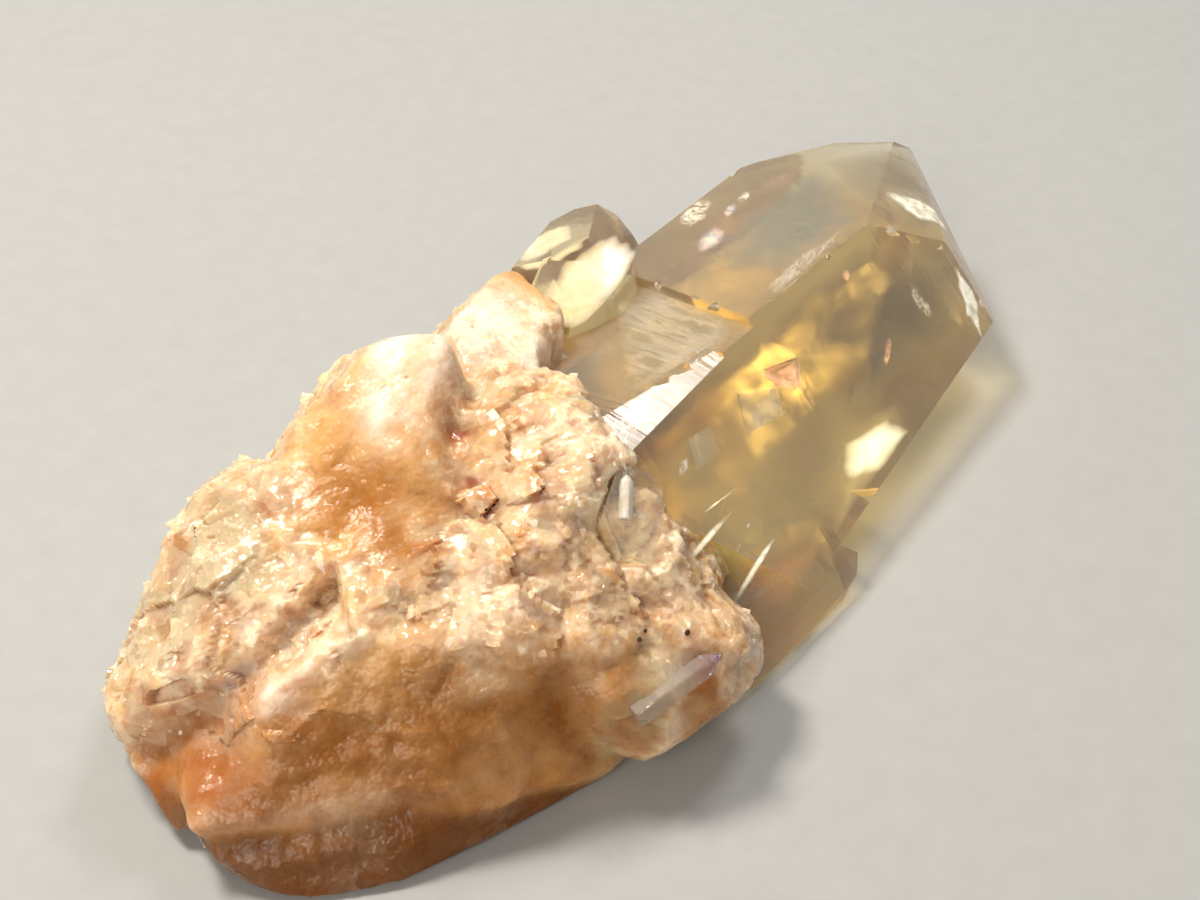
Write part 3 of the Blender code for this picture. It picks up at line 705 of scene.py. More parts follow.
def tilted_grains():
    """Group: flat grains of broken quartz. Each cell's height is the distance from the cell's
    middle along the cell's own random slope, and each cell has a shade of its own."""
    group = bpy.data.node_groups.new("tilted_grains", "ShaderNodeTree")
    group.interface.new_socket("Place", in_out="INPUT", socket_type="NodeSocketVector")
    group.interface.new_socket("Cells", in_out="INPUT", socket_type="NodeSocketFloat")
    group.interface.new_socket("Height", in_out="OUTPUT", socket_type="NodeSocketFloat")
    group.interface.new_socket("Shade", in_out="OUTPUT", socket_type="NodeSocketFloat")
    start = group.nodes.new("NodeGroupInput")
    end = group.nodes.new("NodeGroupOutput")
    cells = group.nodes.new("ShaderNodeTexVoronoi")
    group.links.new(start.outputs["Place"], cells.inputs["Vector"])
    group.links.new(start.outputs["Cells"], cells.inputs["Scale"])
    offset = group.nodes.new("ShaderNodeVectorMath")
    offset.operation = "SUBTRACT"
    group.links.new(start.outputs["Place"], offset.inputs[0])
    group.links.new(cells.outputs["Position"], offset.inputs[1])
    slope = group.nodes.new("ShaderNodeVectorMath")
    slope.operation = "SUBTRACT"
    group.links.new(cells.outputs["Color"], slope.inputs[0])
    slope.inputs[1].default_value = (0.5, 0.5, 0.5)
    rise = group.nodes.new("ShaderNodeVectorMath")
    rise.operation = "DOT_PRODUCT"
    group.links.new(offset.outputs[0], rise.inputs[0])
    group.links.new(slope.outputs[0], rise.inputs[1])
    group.links.new(rise.outputs["Value"], end.inputs["Height"])
    split = group.nodes.new("ShaderNodeSeparateColor")
    group.links.new(cells.outputs["Color"], split.inputs[0])
    group.links.new(split.outputs[1], end.inputs["Shade"])
    return group


def grains_node(tree, place, cells):
    """Height and shade of tilted grains at a number of cells per metre."""
    made = tree.nodes.new("ShaderNodeGroup")
    made.node_tree = bpy.data.node_groups.get("tilted_grains") or tilted_grains()
    tree.links.new(place, made.inputs["Place"])
    made.inputs["Cells"].default_value = cells
    return made.outputs["Height"], made.outputs["Shade"]


def milky_material(name, depth):
    """Milky quartz: cream and amber wax, iron stains, sugary grains that sparkle, painted shade
    under the lip and in the hollows, and painted highlight on the grain tops. Light goes
    in as far as depth, in metres."""
    made, tree, shader = new_material(name)
    place = place_node(tree)
    stain_and_shade, amber, pale, glassy = share_nodes(tree, "tints")
    sugar, under, red, purple = share_nodes(tree, "grains")
    clouds = noise_node(tree, place, 160.0, 3.0)
    fine = noise_node(tree, place, 900.0, 2.0)
    large_grain, large_shade = grains_node(tree, place, 750.0)
    small_grain, small_shade = grains_node(tree, place, 1700.0)
    mottle = noise_node(tree, place, 420.0, 3.0, 0.65)
    wax = colour_node(tree, (0.50, 0.20, 0.04), (0.80, 0.46, 0.17), range_node(tree, clouds, 0.35, 0.65))
    amber = sum_node(tree, "MULTIPLY", amber, range_node(tree, mottle, 0.35, 0.6, 1.0, 0.75))
    wax = colour_node(tree, wax, (0.27, 0.085, 0.005), amber)
    pale = sum_node(tree, "MULTIPLY", pale, range_node(tree, mottle, 0.35, 0.55, 0.55, 1.0))
    wax = colour_node(tree, wax, (0.95, 0.80, 0.65), pale)
    grit = colour_node(tree, (0.70, 0.40, 0.17), (0.94, 0.72, 0.48), range_node(tree, fine, 0.35, 0.6))
    look = colour_node(tree, wax, grit, sum_node(tree, "MULTIPLY", sugar, 0.6))
    look = colour_node(tree, look, (0.47, 0.39, 0.24), sum_node(tree, "MULTIPLY", glassy, 0.82))
    # Painted shade: near-black brown below the lip
    look = colour_node(tree, look, (0.16, 0.05, 0.006), sum_node(tree, "MULTIPLY", under, 0.95))
    # Dark rust brown: iron stain, with painted shade in the hollows between the grains, along the
    # undercut and in the left hollow
    rust = range_node(tree, clouds, 0.38, 0.62, 0.5, 1.0)
    look = colour_node(tree, look, (0.37, 0.105, 0.009), sum_node(tree, "MULTIPLY", stain_and_shade, rust))
    look = colour_node(tree, look, (0.30, 0.03, 0.012), red)
    look = colour_node(tree, look, (0.40, 0.28, 0.32), sum_node(tree, "MULTIPLY", purple, 0.6))
    specks = range_node(tree, noise_node(tree, place, 650.0, 2.0), 0.70, 0.76)
    look = colour_node(tree, look, (0.30, 0.10, 0.03), sum_node(tree, "MULTIPLY", specks, 0.55))
    shade = sum_node(tree, "MULTIPLY", large_shade, sum_node(tree, "MULTIPLY", sugar, 0.35))
    look = colour_node(tree, look, (0.97, 0.82, 0.62), shade)
    shade = range_node(tree, small_shade, 0.75, 1.0, 0.0, 0.35)
    look = colour_node(tree, look, (0.42, 0.20, 0.07), sum_node(tree, "MULTIPLY", shade, sugar))
    tree.links.new(look, shader.inputs["Base Color"])
    shine = range_node(tree, small_shade, 0.2, 0.8, 0.06, 0.36)
    smooth = range_node(tree, mottle, 0.35, 0.65, 0.22, 0.45)
    rough = tree.nodes.new("ShaderNodeMix")
    tree.links.new(sugar, rough.inputs[0])
    tree.links.new(smooth, rough.inputs[2])
    tree.links.new(shine, rough.inputs[3])
    tree.links.new(rough.outputs[0], shader.inputs["Roughness"])
    height = sum_node(tree, "ADD", sum_node(tree, "MULTIPLY", large_grain, 0.6),
                      sum_node(tree, "MULTIPLY", small_grain, 0.5))
    height = sum_node(tree, "MULTIPLY", height, range_node(tree, sugar, 0.0, 1.0, 0.15, 1.0))
    height = sum_node(tree, "ADD", height, sum_node(tree, "MULTIPLY", mottle, 0.0004))
    tree.links.new(bump_node(tree, height, 1.0, 1.0), shader.inputs["Normal"])
    shader.inputs["Subsurface Weight"].default_value = 0.7
    shader.inputs["Subsurface Radius"].default_value = (1.0, 0.52, 0.25)
    shader.inputs["Subsurface Scale"].default_value = depth
    tree.links.new(range_node(tree, sugar, 0.2, 1.0, 0.0, 0.3), shader.inputs["Coat Weight"])
    shader.inputs["Specular IOR Level"].default_value = 0.24
    shader.inputs["Coat Roughness"].default_value = 0.1
    shader.inputs["IOR"].default_value = QUARTZ_IOR
    shader.inputs["Metallic"].default_value = 0.0
    return made


def passing_shadow(tree, shader, colour):
    """Lets shadow rays through a clear surface, tinted, so that what lies under it is lit."""
    passing = tree.nodes.new("ShaderNodeBsdfTransparent")
    passing.inputs["Color"].default_value = colour + (1.0,)
    light = tree.nodes.new("ShaderNodeLightPath")
    either = tree.nodes.new("ShaderNodeMixShader")
    tree.links.new(light.outputs["Is Shadow Ray"], either.inputs[0])
    tree.links.new(shader.outputs[0], either.inputs[1])
    tree.links.new(passing.outputs[0], either.inputs[2])
    tree.links.new(either.outputs[0], tree.nodes["Material Output"].inputs["Surface"])


def sugar_material():
    """Grains of clear quartz that take their colour from the ground they sit on."""
    made, tree, shader = new_material("sugar_quartz")
    place = place_node(tree)
    fine = noise_node(tree, place, 500.0, 1.0)
    tint = colour_node(tree, (0.95, 0.78, 0.56), (0.99, 0.95, 0.88), range_node(tree, fine, 0.4, 0.6))
    tree.links.new(tint, shader.inputs["Base Color"])
    tree.links.new(range_node(tree, fine, 0.35, 0.65, 0.1, 0.3), shader.inputs["Roughness"])
    clear_quartz(shader, 0.7)
    passing_shadow(tree, shader, (0.8, 0.78, 0.74))
    return made


def white_rod_material():
    """White quartz, a little see-through."""
    made, tree, shader = new_material("white_quartz")
    fine = noise_node(tree, place_node(tree), 900.0, 3.0)
    tint = colour_node(tree, (0.88, 0.78, 0.62), (0.97, 0.94, 0.88), range_node(tree, fine, 0.4, 0.6))
    tree.links.new(tint, shader.inputs["Base Color"])
    tree.links.new(range_node(tree, fine, 0.35, 0.65, 0.12, 0.4), shader.inputs["Roughness"])
    tree.links.new(bump_node(tree, fine, 0.4, 0.0003), shader.inputs["Normal"])
    clear_quartz(shader, 0.3)
    return made


def ledge_prism_material():
    """Clear quartz, faintly purple at one end, with a haze of fine flaws."""
    made, tree, shader = new_material("ledge_prism")
    place = place_node(tree)
    haze = noise_node(tree, place, 350.0, 4.0)
    split = tree.nodes.new("ShaderNodeSeparateXYZ")
    tree.links.new(place, split.inputs[0])
    east = range_node(tree, split.outputs[0], -0.0095, -0.0072)
    tint = colour_node(tree, (0.97, 0.90, 0.79), (0.76, 0.60, 0.75), east)
    tree.links.new(tint, shader.inputs["Base Color"])
    tree.links.new(range_node(tree, haze, 0.35, 0.7, 0.05, 0.25), shader.inputs["Roughness"])
    tree.links.new(bump_node(tree, haze, 0.3, 0.0004), shader.inputs["Normal"])
    clear_quartz(shader, 0.82)
    return made


def growth_lines():
    """Group: fine steps across the growth direction, as quartz faces carry them."""
    group = bpy.data.node_groups.new("growth_lines", "ShaderNodeTree")
    group.interface.new_socket("Place", in_out="INPUT", socket_type="NodeSocketVector")
    group.interface.new_socket("Height", in_out="OUTPUT", socket_type="NodeSocketFloat")
    start = group.nodes.new("NodeGroupInput")
    end = group.nodes.new("NodeGroupOutput")
    turned = group.nodes.new("ShaderNodeMapping")
    turned.vector_type = "TEXTURE"
    turned.inputs["Rotation"].default_value = (0.0, -math.radians(GROWTH_RISE),
                                               math.radians(GROWTH_AZIMUTH))
    group.links.new(start.outputs[0], turned.inputs["Vector"])
    squeeze = group.nodes.new("ShaderNodeMapping")
    squeeze.inputs["Scale"].default_value = (1.0, 0.05, 0.05)
    group.links.new(turned.outputs[0], squeeze.inputs["Vector"])
    coarse = noise_node(group, squeeze.outputs[0], 900.0, 2.0, 0.5)
    fine = noise_node(group, squeeze.outputs[0], 2600.0, 2.0, 0.5)
    height = sum_node(group, "ADD", coarse, sum_node(group, "MULTIPLY", fine, 0.5))
    group.links.new(height, end.inputs[0])
    return group


def citrine_material():
    """Clear citrine: plain transmission, olive-gold where light has a long way to go."""
    made, tree, shader = new_material("citrine")
    place = place_node(tree)
    lines = tree.nodes.new("ShaderNodeGroup")
    lines.node_tree = growth_lines()
    tree.links.new(place, lines.inputs[0])
    patches = noise_node(tree, place, 120.0, 2.0)
    strength = range_node(tree, patches, 0.4, 0.62, 0.0, 1.0)
    height = sum_node(tree, "MULTIPLY", lines.outputs[0], strength)
    tree.links.new(bump_node(tree, height, 0.35, 0.0003), shader.inputs["Normal"])
    haze = noise_node(tree, place, 300.0, 2.0)
    tree.links.new(range_node(tree, haze, 0.36, 0.68, 0.10, 0.26), shader.inputs["Roughness"])
    shader.inputs["Base Color"].default_value = (0.95, 0.95, 0.92, 1.0)
    clear_quartz(shader, 0.88)
    depth = tree.nodes.new("ShaderNodeVolumeAbsorption")
    depth.inputs["Color"].default_value = (0.88, 0.71, 0.14, 1.0)
    depth.inputs["Density"].default_value = 92.0
    output = tree.nodes["Material Output"]
    tree.links.new(depth.outputs[0], output.inputs["Volume"])
    passing_shadow(tree, shader, (0.55, 0.53, 0.48))
    return made


# Edges of the large crystal that are chipped: points along them, how many chips, their size
CHIPPED = (
    ([(2.5, -1.9, 18.3), (6.5, 0.6, 17.8), (11, 1.9, 17.3), (14.5, 2.7, 18.3)], 8, 0.7),
    ([(14.5, 2.7, 18.3), (23.0, 5.8, 17.9), (31.6, 9.0, 17.3)], 10, 0.55),
    ([(31.6, 9.0, 17.3), (36.0, 8.5, 14.8), (40.5, 7.9, 12.0)], 4, 0.55),
    ([(40.5, 7.9, 12.0), (42.0, 3.5, 6.2), (41.0, 2.5, 4.5)], 4, 0.5),
    ([(24.6, 22.1, 15.1), (30.2, 24.5, 14.7), (39.0, 24.4, 14.8)], 3, 0.5),
    ([(12.8, 12.6, 16.6), (14.7, 4.5, 18.0)], 3, 0.4),
    ([(15.9, -9.3, 4.0), (28.0, -4.2, 4.6), (40.0, 2.0, 5.0)], 2, 0.45),
    ([(39.0, 24.4, 14.8), (44.0, 22.0, 13.0), (47.0, 20.0, 10.0)], 1, 0.5),
)

# Fine steps across the lower step and the top face: where along the growth direction each lies
# from the brow, how far to the side, its length, width and depth, and how far below the plane
# of the top face it lies
GROOVES = [(along, RNG.uniform(-2.0, 3.0), RNG.uniform(5.0, 9.0), RNG.uniform(0.10, 0.24),
            RNG.uniform(0.05, 0.12), 0.8)
           for along in np.arange(-30.5, -17.6, 0.62) + RNG.uniform(-0.2, 0.2, 21)]
GROOVES += [(-15.6, 1.0, 7.0, 0.16, 0.08, 0.0), (-13.2, 3.0, 5.0, 0.12, 0.06, 0.0),
            (-9.5, 3.5, 6.0, 0.14, 0.06, 0.0)]

# Pit in the front face, nearly three-sided: its rim and its deepest point. Then the rim of a
# shallow broken patch beside it
PIT_RIM = [(14.0, 0.0, 15.4), (18.5, 0.9, 14.3), (17.7, -0.9, 12.7), (15.5, -0.9, 13.8)]
PIT_FLOOR = (16.9, 1.7, 13.0)
PATCH_RIM = [(11.2, -1.3, 15.3), (15.5, -0.9, 13.8), (15.3, -2.3, 12.3), (10.5, -3.7, 13.0)]
BROKEN = (
    [PIT_FLOOR] + [tuple(np.array(corner) + FRONT * 0.4) for corner in PIT_RIM],
    [tuple(np.array(corner) + FRONT * reach) for corner in PATCH_RIM for reach in (-0.14, 0.5)],
)


def cutter_mesh(name, corners):
    """Mesh of the convex hull of millimetre corners, in metres."""
    block = hull_mesh((np.array(corners) - CENTRE) * MM)
    made = bpy.data.meshes.new(name)
    block.to_mesh(made)
    block.free()
    return made


def chip_between(place, size, along):
    """Small sharp block of random shape, longer along an edge than across it."""
    corners = RNG.normal(size=(9, 3)) * size * 0.5
    corners += np.outer(RNG.uniform(-1.3, 1.3, 9) * size, along)
    return cutter_mesh("chip", place + corners)


def groove_block(along, aside, length, width, depth, below):
    """Long thin wedge that lies across the growth direction, its edge sunk into a top face."""
    across = np.cross(TOP, GROWTH)
    forward = np.cross(across, TOP)
    middle = np.array(BROW) - TOP * below + forward * along + across * aside
    wedge = []
    for end in (-0.5, 0.5):
        here = middle + across * length * end
        wedge += [here - TOP * depth * (1.0 - abs(end) * 1.2), here + forward * width + TOP * 0.3,
                  here - forward * width * 0.25 + TOP * 0.3]
    return cutter_mesh("groove", wedge)


def cut(piece, spare):
    """Cuts a closed mesh from a piece."""
    cutter = bpy.data.objects.new("cutter", spare)
    bpy.context.scene.collection.objects.link(cutter)
    modifier = piece.modifiers.new("cut", "BOOLEAN")
    modifier.operation = "DIFFERENCE"
    modifier.solver = "EXACT"
    modifier.object = cutter
    bpy.context.view_layer.update()
    graph = bpy.context.evaluated_depsgraph_get()
    mesh = bpy.data.meshes.new_from_object(piece.evaluated_get(graph))
    piece.modifiers.clear()
    if len(mesh.polygons) > 8:
        piece.data = mesh
    bpy.data.objects.remove(cutter)


def crystal_piece():
    """The clear crystals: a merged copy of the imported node, with the broken places, the fine
    steps and the chips cut into it."""
    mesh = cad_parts["citrine_crystal"].data.copy()
    mesh.name = "citrine_points"
    piece = bpy.data.objects.new("citrine_points", mesh)
    bpy.context.scene.collection.objects.link(piece)
    bm = bmesh.new()
    bm.from_mesh(mesh)
    bmesh.ops.remove_doubles(bm, verts=bm.verts, dist=2e-6)
    bmesh.ops.recalc_face_normals(bm, faces=bm.faces)
    bmesh.ops.dissolve_limit(bm, angle_limit=0.01, verts=bm.verts, edges=bm.edges)
    bm.to_mesh(mesh)
    bm.free()
    for corners in BROKEN:
        cut(piece, cutter_mesh("broken", corners))
    for row in GROOVES:
        cut(piece, groove_block(*row))
    for line, count, size in CHIPPED:
        line = np.array(line)
        for share in (np.arange(count) + RNG.uniform(0.1, 0.9, count)) / count:
            leg = min(int(share * (len(line) - 1)), len(line) - 2)
            part = share * (len(line) - 1) - leg
            along = line[leg + 1] - line[leg]
            place = line[leg] + along * part + RNG.normal(size=3) * 0.25 * size
            own = size * RNG.uniform(0.5, 1.35)
            cut(piece, chip_between(place, own, along / np.linalg.norm(along)))
    piece.data.polygons.foreach_set("use_smooth", np.zeros(len(piece.data.polygons), bool))
    return piece


TIP = (0.45, -0.23, 0.86)  # direction of the broken face at the tip
LIT = (-0.25, -0.10, 0.96)  # turned up to the light and to the viewer
SHEET_RINGS = 12
SHEET_COLUMNS = 48
SHEET_HALF_GAP = 0.05  # half a sheet's thickness at its middle


def oval(centre, facing, along, length, width):
    """Outline of an oval that faces one way: centre plus cosine and sine shares of its two
    half axes."""
    facing = np.array(facing, float) / np.linalg.norm(facing)
    along = np.array(along, float)
    along -= facing * (along @ facing)
    along /= np.linalg.norm(along)
    across = np.cross(facing, along)
    angle = np.arange(SHEET_COLUMNS) / SHEET_COLUMNS * 2 * np.pi
    return (np.array(centre, float) + np.cos(angle)[:, None] * length * along
            + np.sin(angle)[:, None] * width * across)


def pane(*corners):
    """Outline of a flat pane: its corners joined by straight lines, read at equal steps."""
    corners = np.array(corners, float)
    step = np.arange(SHEET_COLUMNS) / SHEET_COLUMNS * len(corners)
    leg = step.astype(int)
    share = (step - leg)[:, None]
    return corners[leg] * (1 - share) + corners[(leg + 1) % len(corners)] * share


def blade(start, end, width, facing):
    """Outline of a long thin leaf: out along a straight line and back, as wide as the square
    root of a sine."""
    start = np.array(start, float)
    along = np.array(end, float) - start
    across = np.cross(along, facing)
    across /= np.linalg.norm(across)
    turn = np.arange(SHEET_COLUMNS) / SHEET_COLUMNS * 2 * np.pi
    share = (1 - np.cos(turn)) / 2
    return start + share[:, None] * along + np.sin(turn)[:, None] * width * across


SHEETS = {
    # name: rows of outline, facing, depth below it, bend, raggedness
    "smoky_zones": [
        (pane((19, 4, 15.6), (31, 8.5, 16.5), (41, 7, 11), (39, 3.5, 7.6), (28, 0.2, 8.9),
              (15.5, 0.2, 14)), FRONT, 2.2, 0.4, 0.6),
        (pane((37.5, 22.5, 14.2), (44.5, 22.5, 13.2), (46.6, 20.5, 12.4), (43.5, 15.5, 12.8),
              (39.0, 14.4, 14.9), (34.0, 12.0, 16.2)), TOP, 1.0, 0.3, 0.6),
    ],
    "grey_zone": [
        (pane((25, 18, 15.8), (37.5, 22.5, 14.4), (33.2, 10.6, 16.9), (22, 6.5, 17.3), (18, 11, 16.8)),
         TOP, 1.4, 0.3, 0.6),
    ],
    # Painted caustic glow: a golden sheet that glows faintly by itself over the lower front, standing in
    # for light gathered there
    "golden_glow": [
        (pane((15, -7.5, 7), (20, -3, 9.5), (28.5, -1.5, 7.5), (28.3, -2.9, 5.3), (22, -6, 4.8),
              (16, -9, 4.4)), FRONT, 1.5, 0.0, 0.3),
    ],
    "golden_haze": [
        (pane((0, -4.6, 15.6), (12, -0.8, 14.6), (27.5, 0.4, 9.0), (27.0, -2.6, 5.8), (16, -8.2, 4.8),
              (4, -12.6, 6.8), (-1, -9.4, 12.6)), FRONT, 0.9, 0.0, 0.5),
    ],
    "milky_core": [
        (oval((7.4, 13.6, 18.3), LIT, (3.0, 1.2, 0.0), 5.4, 2.7), LIT, 0.4, 0.0, 0.6),
        (oval((7.0, 18.6, 18.6), TOP, (3.0, 1.2, 0.0), 3.0, 1.6), TOP, 0.5, 0.0, 0.8),
    ],
    "growth_streaks": [
        (pane((8.7, 11.6, 17.0), (12.8, 12.4, 16.6), (14.4, 4.6, 17.2), (13.2, 2.1, 17.5),
              (8.4, 0.8, 17.6), (2.2, 0.2, 17.9)), TOP, 0.12, 0.0, 0.3),
    ],
    "white_veils": [
        (oval((3.5, -5.2, 14.6), FRONT, (4, 3, 1), 0.8, 0.4), LIT, 0.4, 0.1, 1.0),
        (oval((5.7, -9.4, 8.8), FRONT, (4, 3, 1), 0.4, 0.15), LIT, 0.3, 0.1, 1.0),
        (oval((7.4, -8.2, 9.3), FRONT, (4, 3, 1), 0.35, 0.15), LIT, 0.3, 0.1, 1.0),
        (oval((35.0, 4.7, 10.9), FRONT, (-1.0, 1.6, 2.6), 1.7, 0.7), FRONT, 1.2, 0.3, 1.0),
        # The next two are painted highlights: white glints on the top face
        (oval((27.4, 20.1, 15.4), TOP, (3.0, 2.4, 0.0), 1.2, 0.5), TOP, 0.4, 0.2, 1.0),
        (oval((22.8, 20.6, 15.2), TOP, (3.0, 2.4, 0.0), 2.7, 1.1), TOP, 0.5, 0.2, 1.0),
    ],
    "bright_streaks": [
        (blade((6.9, -7.3, 10.2), (-1.0, -12.1, 12.2), 0.3, LIT), FRONT, 0.35, 0.0, 0.1),
        (blade((10.0, -8.8, 7.4), (3.0, -13.4, 8.2), 0.28, LIT), FRONT, 0.35, 0.0, 0.1),
        (blade((8.0, -6.0, 10.8), (3.4, -8.6, 12.6), 0.14, LIT), FRONT, 0.4, 0.0, 0.1),
    ],
    # A white fracture at the tip, then a bright thin band along the tip's right edge that is a painted
    # highlight; both glow faintly by themselves, painted light
    "tip_fracture": [
        (pane((37.4, 14.4, 15.2), (40.5, 14.5, 14.0), (43.4, 13.6, 12.0), (44.0, 11.9, 10.0),
              (42.4, 11.2, 11.6), (39.2, 11.2, 13.9)), TIP, 0.2, 0.0, 1.4),
        (pane((40.5, 7.6, 11.2), (41.9, 5.6, 8.0), (40.6, 2.9, 5.8), (39.7, 4.2, 8.0)),
         (0.75, -0.52, 0.40), 0.25, 0.0, 1.0),
    ],
    # Painted reflection: a silver sheet just under the striated slope by the foot, and one along the top
    # face by its edge to the front face, stand in for light mirrored there
    "silver_fracture": [
        (pane((6.3, 0.4, 17.8), (4.2, -0.5, 17.7), (1.0, -3.5, 17.3), (-1.2, -4.2, 17.3),
              (-1.9, -2.2, 17.8), (1.5, -0.3, 17.9)), (0.07, -0.21, 0.98), 0.12, 0.0, 0.5),
        (pane((18.4, 4.3, 17.5), (19.2, 6.0, 17.5), (24.6, 8.4, 17.2), (30.2, 9.6, 17.3),
              (24.8, 6.9, 17.5)), TOP, 0.15, 0.0, 0.9),
    ],
    "rainbow_film": [
        (oval((20.6, 15.4, 16.3), TOP, (3.0, 2.4, 0.0), 2.4, 1.0), TOP, 0.3, 0.2, 1.0),
        (oval((25.0, 18.8, 15.6), TOP, (3.0, 2.4, 0.0), 1.4, 0.5), TOP, 0.3, 0.2, 1.0),
    ],
    "frosted_patch": [
        (pane(*PATCH_RIM), FRONT, 0.24, 0.0, 0.1),
        (pane((5.0, -4.0, 15.6), (7.6, -3.1, 15.0), (7.6, -4.6, 13.4), (4.6, -5.6, 13.8)), FRONT,
         0.25, 0.0, 0.3),
    ],
    # Orange lining of the pit and two orange spots: the colour is the stone's own, and the faint glow is
    # painted light
    "orange_lining": [
        (pane(PIT_RIM[0], PIT_RIM[1], PIT_FLOOR), LIT, 0.3, 0.0, 0.3),
        (pane(PIT_RIM[1], PIT_RIM[2], PIT_FLOOR), LIT, 0.3, 0.0, 0.3),
        (pane(PIT_RIM[2], PIT_RIM[3], PIT_RIM[0], PIT_FLOOR), LIT, 0.3, 0.0, 0.3),
        (oval((28.4, 1.8, 10.7), FRONT, (2, 1, 1.6), 1.3, 0.35), LIT, 1.0, 0.2, 1.0),
        (oval((27.0, 5.9, 16.0), FRONT, (2, 1, 1.6), 0.6, 0.4), LIT, 0.6, 0.2, 1.0),
    ],
    # Painted caustic: a bright golden sheet that glows by itself, standing in for light gathered at the
    # crystal's lower front edge
    "golden_mirror": [
        (pane((20.3, -3.9, 8.1), (26.0, -2.4, 7.1), (28.3, -2.9, 5.3), (23.0, -5.4, 5.0),
              (19.0, -5.8, 6.4)), FRONT, 0.9, 0.0, 0.3),
    ],
    "brown_smoke": [
        (oval((21.3, 15.8, 16.1), TOP, (4.6, 3.6, 0.0), 5.0, 2.7), TOP, 2.0, 0.5, 1.0),
        (oval((15.2, 19.4, 15.6), (0.8, -0.5, 0.3), (0.0, 0.4, 1.0), 2.6, 1.6), (0.8, -0.5, 0.3),
         0.4, 0.2, 1.0),
        (oval((43.0, 17.6, 12.6), (0.5, 0.2, 0.8), (2.0, 4.4, 0.4), 4.0, 2.4), TOP, 1.6, 0.5, 1.0),
        (oval((31.6, 21.0, 15.3), TOP, (5.0, 1.6, 0.0), 3.6, 1.2), TOP, 1.4, 0.4, 1.0),
    ],
    "amber_foot": [
        (oval((8.4, -9.2, 3.8), LIT, (10.0, 4.4, 0.0), 6.8, 3.0), LIT, 0.3, -0.5, 1.0),
    ],
    "dark_feather": [
        (oval((28.6, 1.4, 10.6), FRONT, (4.4, 1.8, 3.6), 4.4, 1.2), FRONT, 2.2, 0.5, 1.0),
        (oval((24.0, -0.6, 10.4), FRONT, (4.0, 1.6, 2.4), 2.0, 0.4), FRONT, 1.6, 0.4, 1.0),
    ],
}


def sheet_parts(row, seed):
    """Corners and faces of one thin closed sheet: rings that shrink from a ragged outline to its
    middle, on two skins that part by a tenth of a millimetre there and meet at the rim, bent by
    the square of the radius."""
    outline, facing, depth, bend, raggedness = row
    facing = np.array(facing, float) / np.linalg.norm(facing)
    middle = outline.mean(axis=0)
    angle = np.arange(SHEET_COLUMNS) / SHEET_COLUMNS * 2 * np.pi
    circle = np.stack(
        [np.cos(angle) * 3, np.sin(angle) * 3, np.full(SHEET_COLUMNS, seed * 7.3)], axis=1)
    ragged = value_noise(circle, 1.0, 41) * 0.16 + value_noise(circle, 0.45, 42) * 0.09
    rim = (outline - middle) * (1.0 + ragged * raggedness)[:, None]
    middle = middle - facing * depth
    radius = np.linspace(0, 1, SHEET_RINGS + 1)[1:, None, None]
    skin = middle + rim * radius + bend * radius ** 2 * facing
    ripple = value_noise(skin.reshape(-1, 3), 0.9, 43).reshape(SHEET_RINGS, SHEET_COLUMNS, 1)
    skin = skin + ripple * 0.12 * raggedness * facing
    gap = SHEET_HALF_GAP * (1 - radius ** 2) * facing
    upper = (skin + gap)[:-1].reshape(-1, 3)
    lower = (skin - gap)[:-1][::-1].reshape(-1, 3)
    corners = np.concatenate(
        [[middle + facing * SHEET_HALF_GAP], upper, skin[-1], lower,
         [middle - facing * SHEET_HALF_GAP]])
    return corners, wrapped_faces(2 * SHEET_RINGS + 1, SHEET_COLUMNS)


def sheet_piece(name, rows):
    """All sheets of one kind, as one piece."""
    rings = np.repeat(np.linspace(0, 1, SHEET_RINGS + 1)[1:], SHEET_COLUMNS)
    rim_fade = np.concatenate([[0], rings, rings[::-1][SHEET_COLUMNS:], [0]])
    corners, faces, fades, count = [], [], [], 0
    for number, row in enumerate(rows):
        own, sides = sheet_parts(row, number + len(name))
        corners.append(own)
        fades.append(rim_fade)
        faces += [[corner + count for corner in side] for side in sides]
        count += len(own)
    piece = mesh_piece(name, np.concatenate(corners), faces)
    piece.data.polygons.foreach_set("use_smooth", np.ones(len(piece.data.polygons), bool))
    outward(piece)
    fades = np.concatenate(fades)
    shades(piece, "rim", [fades, fades, fades, fades])
    return piece


def outward(piece):
    """Turns every face of a piece outward."""
    bm = bmesh.new()
    bm.from_mesh(piece.data)
    bmesh.ops.recalc_face_normals(bm, faces=bm.faces)
    bm.to_mesh(piece.data)
    bm.free()


def rod_piece(name, corners):
    """A small crystal: the hull of its corner points, its edges eased."""
    bm = hull_mesh((np.array(corners) - CENTRE) * MM)
    bmesh.ops.bevel(bm, geom=list(bm.edges), offset=EASED_EDGE, segments=2, affect="EDGES",
                    profile=0.6)
    bmesh.ops.recalc_face_normals(bm, faces=bm.faces)
    mesh = bpy.data.meshes.new(name)
    bm.to_mesh(mesh)
    bm.free()
    piece = bpy.data.objects.new(name, mesh)
    bpy.context.scene.collection.objects.link(piece)
    return piece


def crumb(kind):
    """Corners and faces of one sugary crumb: a short six-sided point, or a broken lump."""
    if kind % 2:
        ring = np.arange(6) / 6 * 2 * np.pi
        belt = np.stack([np.cos(ring), np.sin(ring), np.zeros(6)], axis=1) * 0.6
        corners = np.concatenate([belt - [0, 0, 1.0], belt + [0, 0, 0.5],
                                  [[RNG.uniform(-0.2, 0.2), RNG.uniform(-0.2, 0.2), 1.2]]])
    else:
        corners = RNG.normal(size=(15, 3))
        corners /= np.linalg.norm(corners, axis=1)[:, None]
        corners *= np.array([0.9, 0.75, 0.8])
    bm = hull_mesh(corners)
    bm.verts.index_update()
    places = np.array([v.co[:] for v in bm.verts])
    sides = np.array([[v.index for v in face.verts] for face in bm.faces])
    bm.free()
    return places, sides


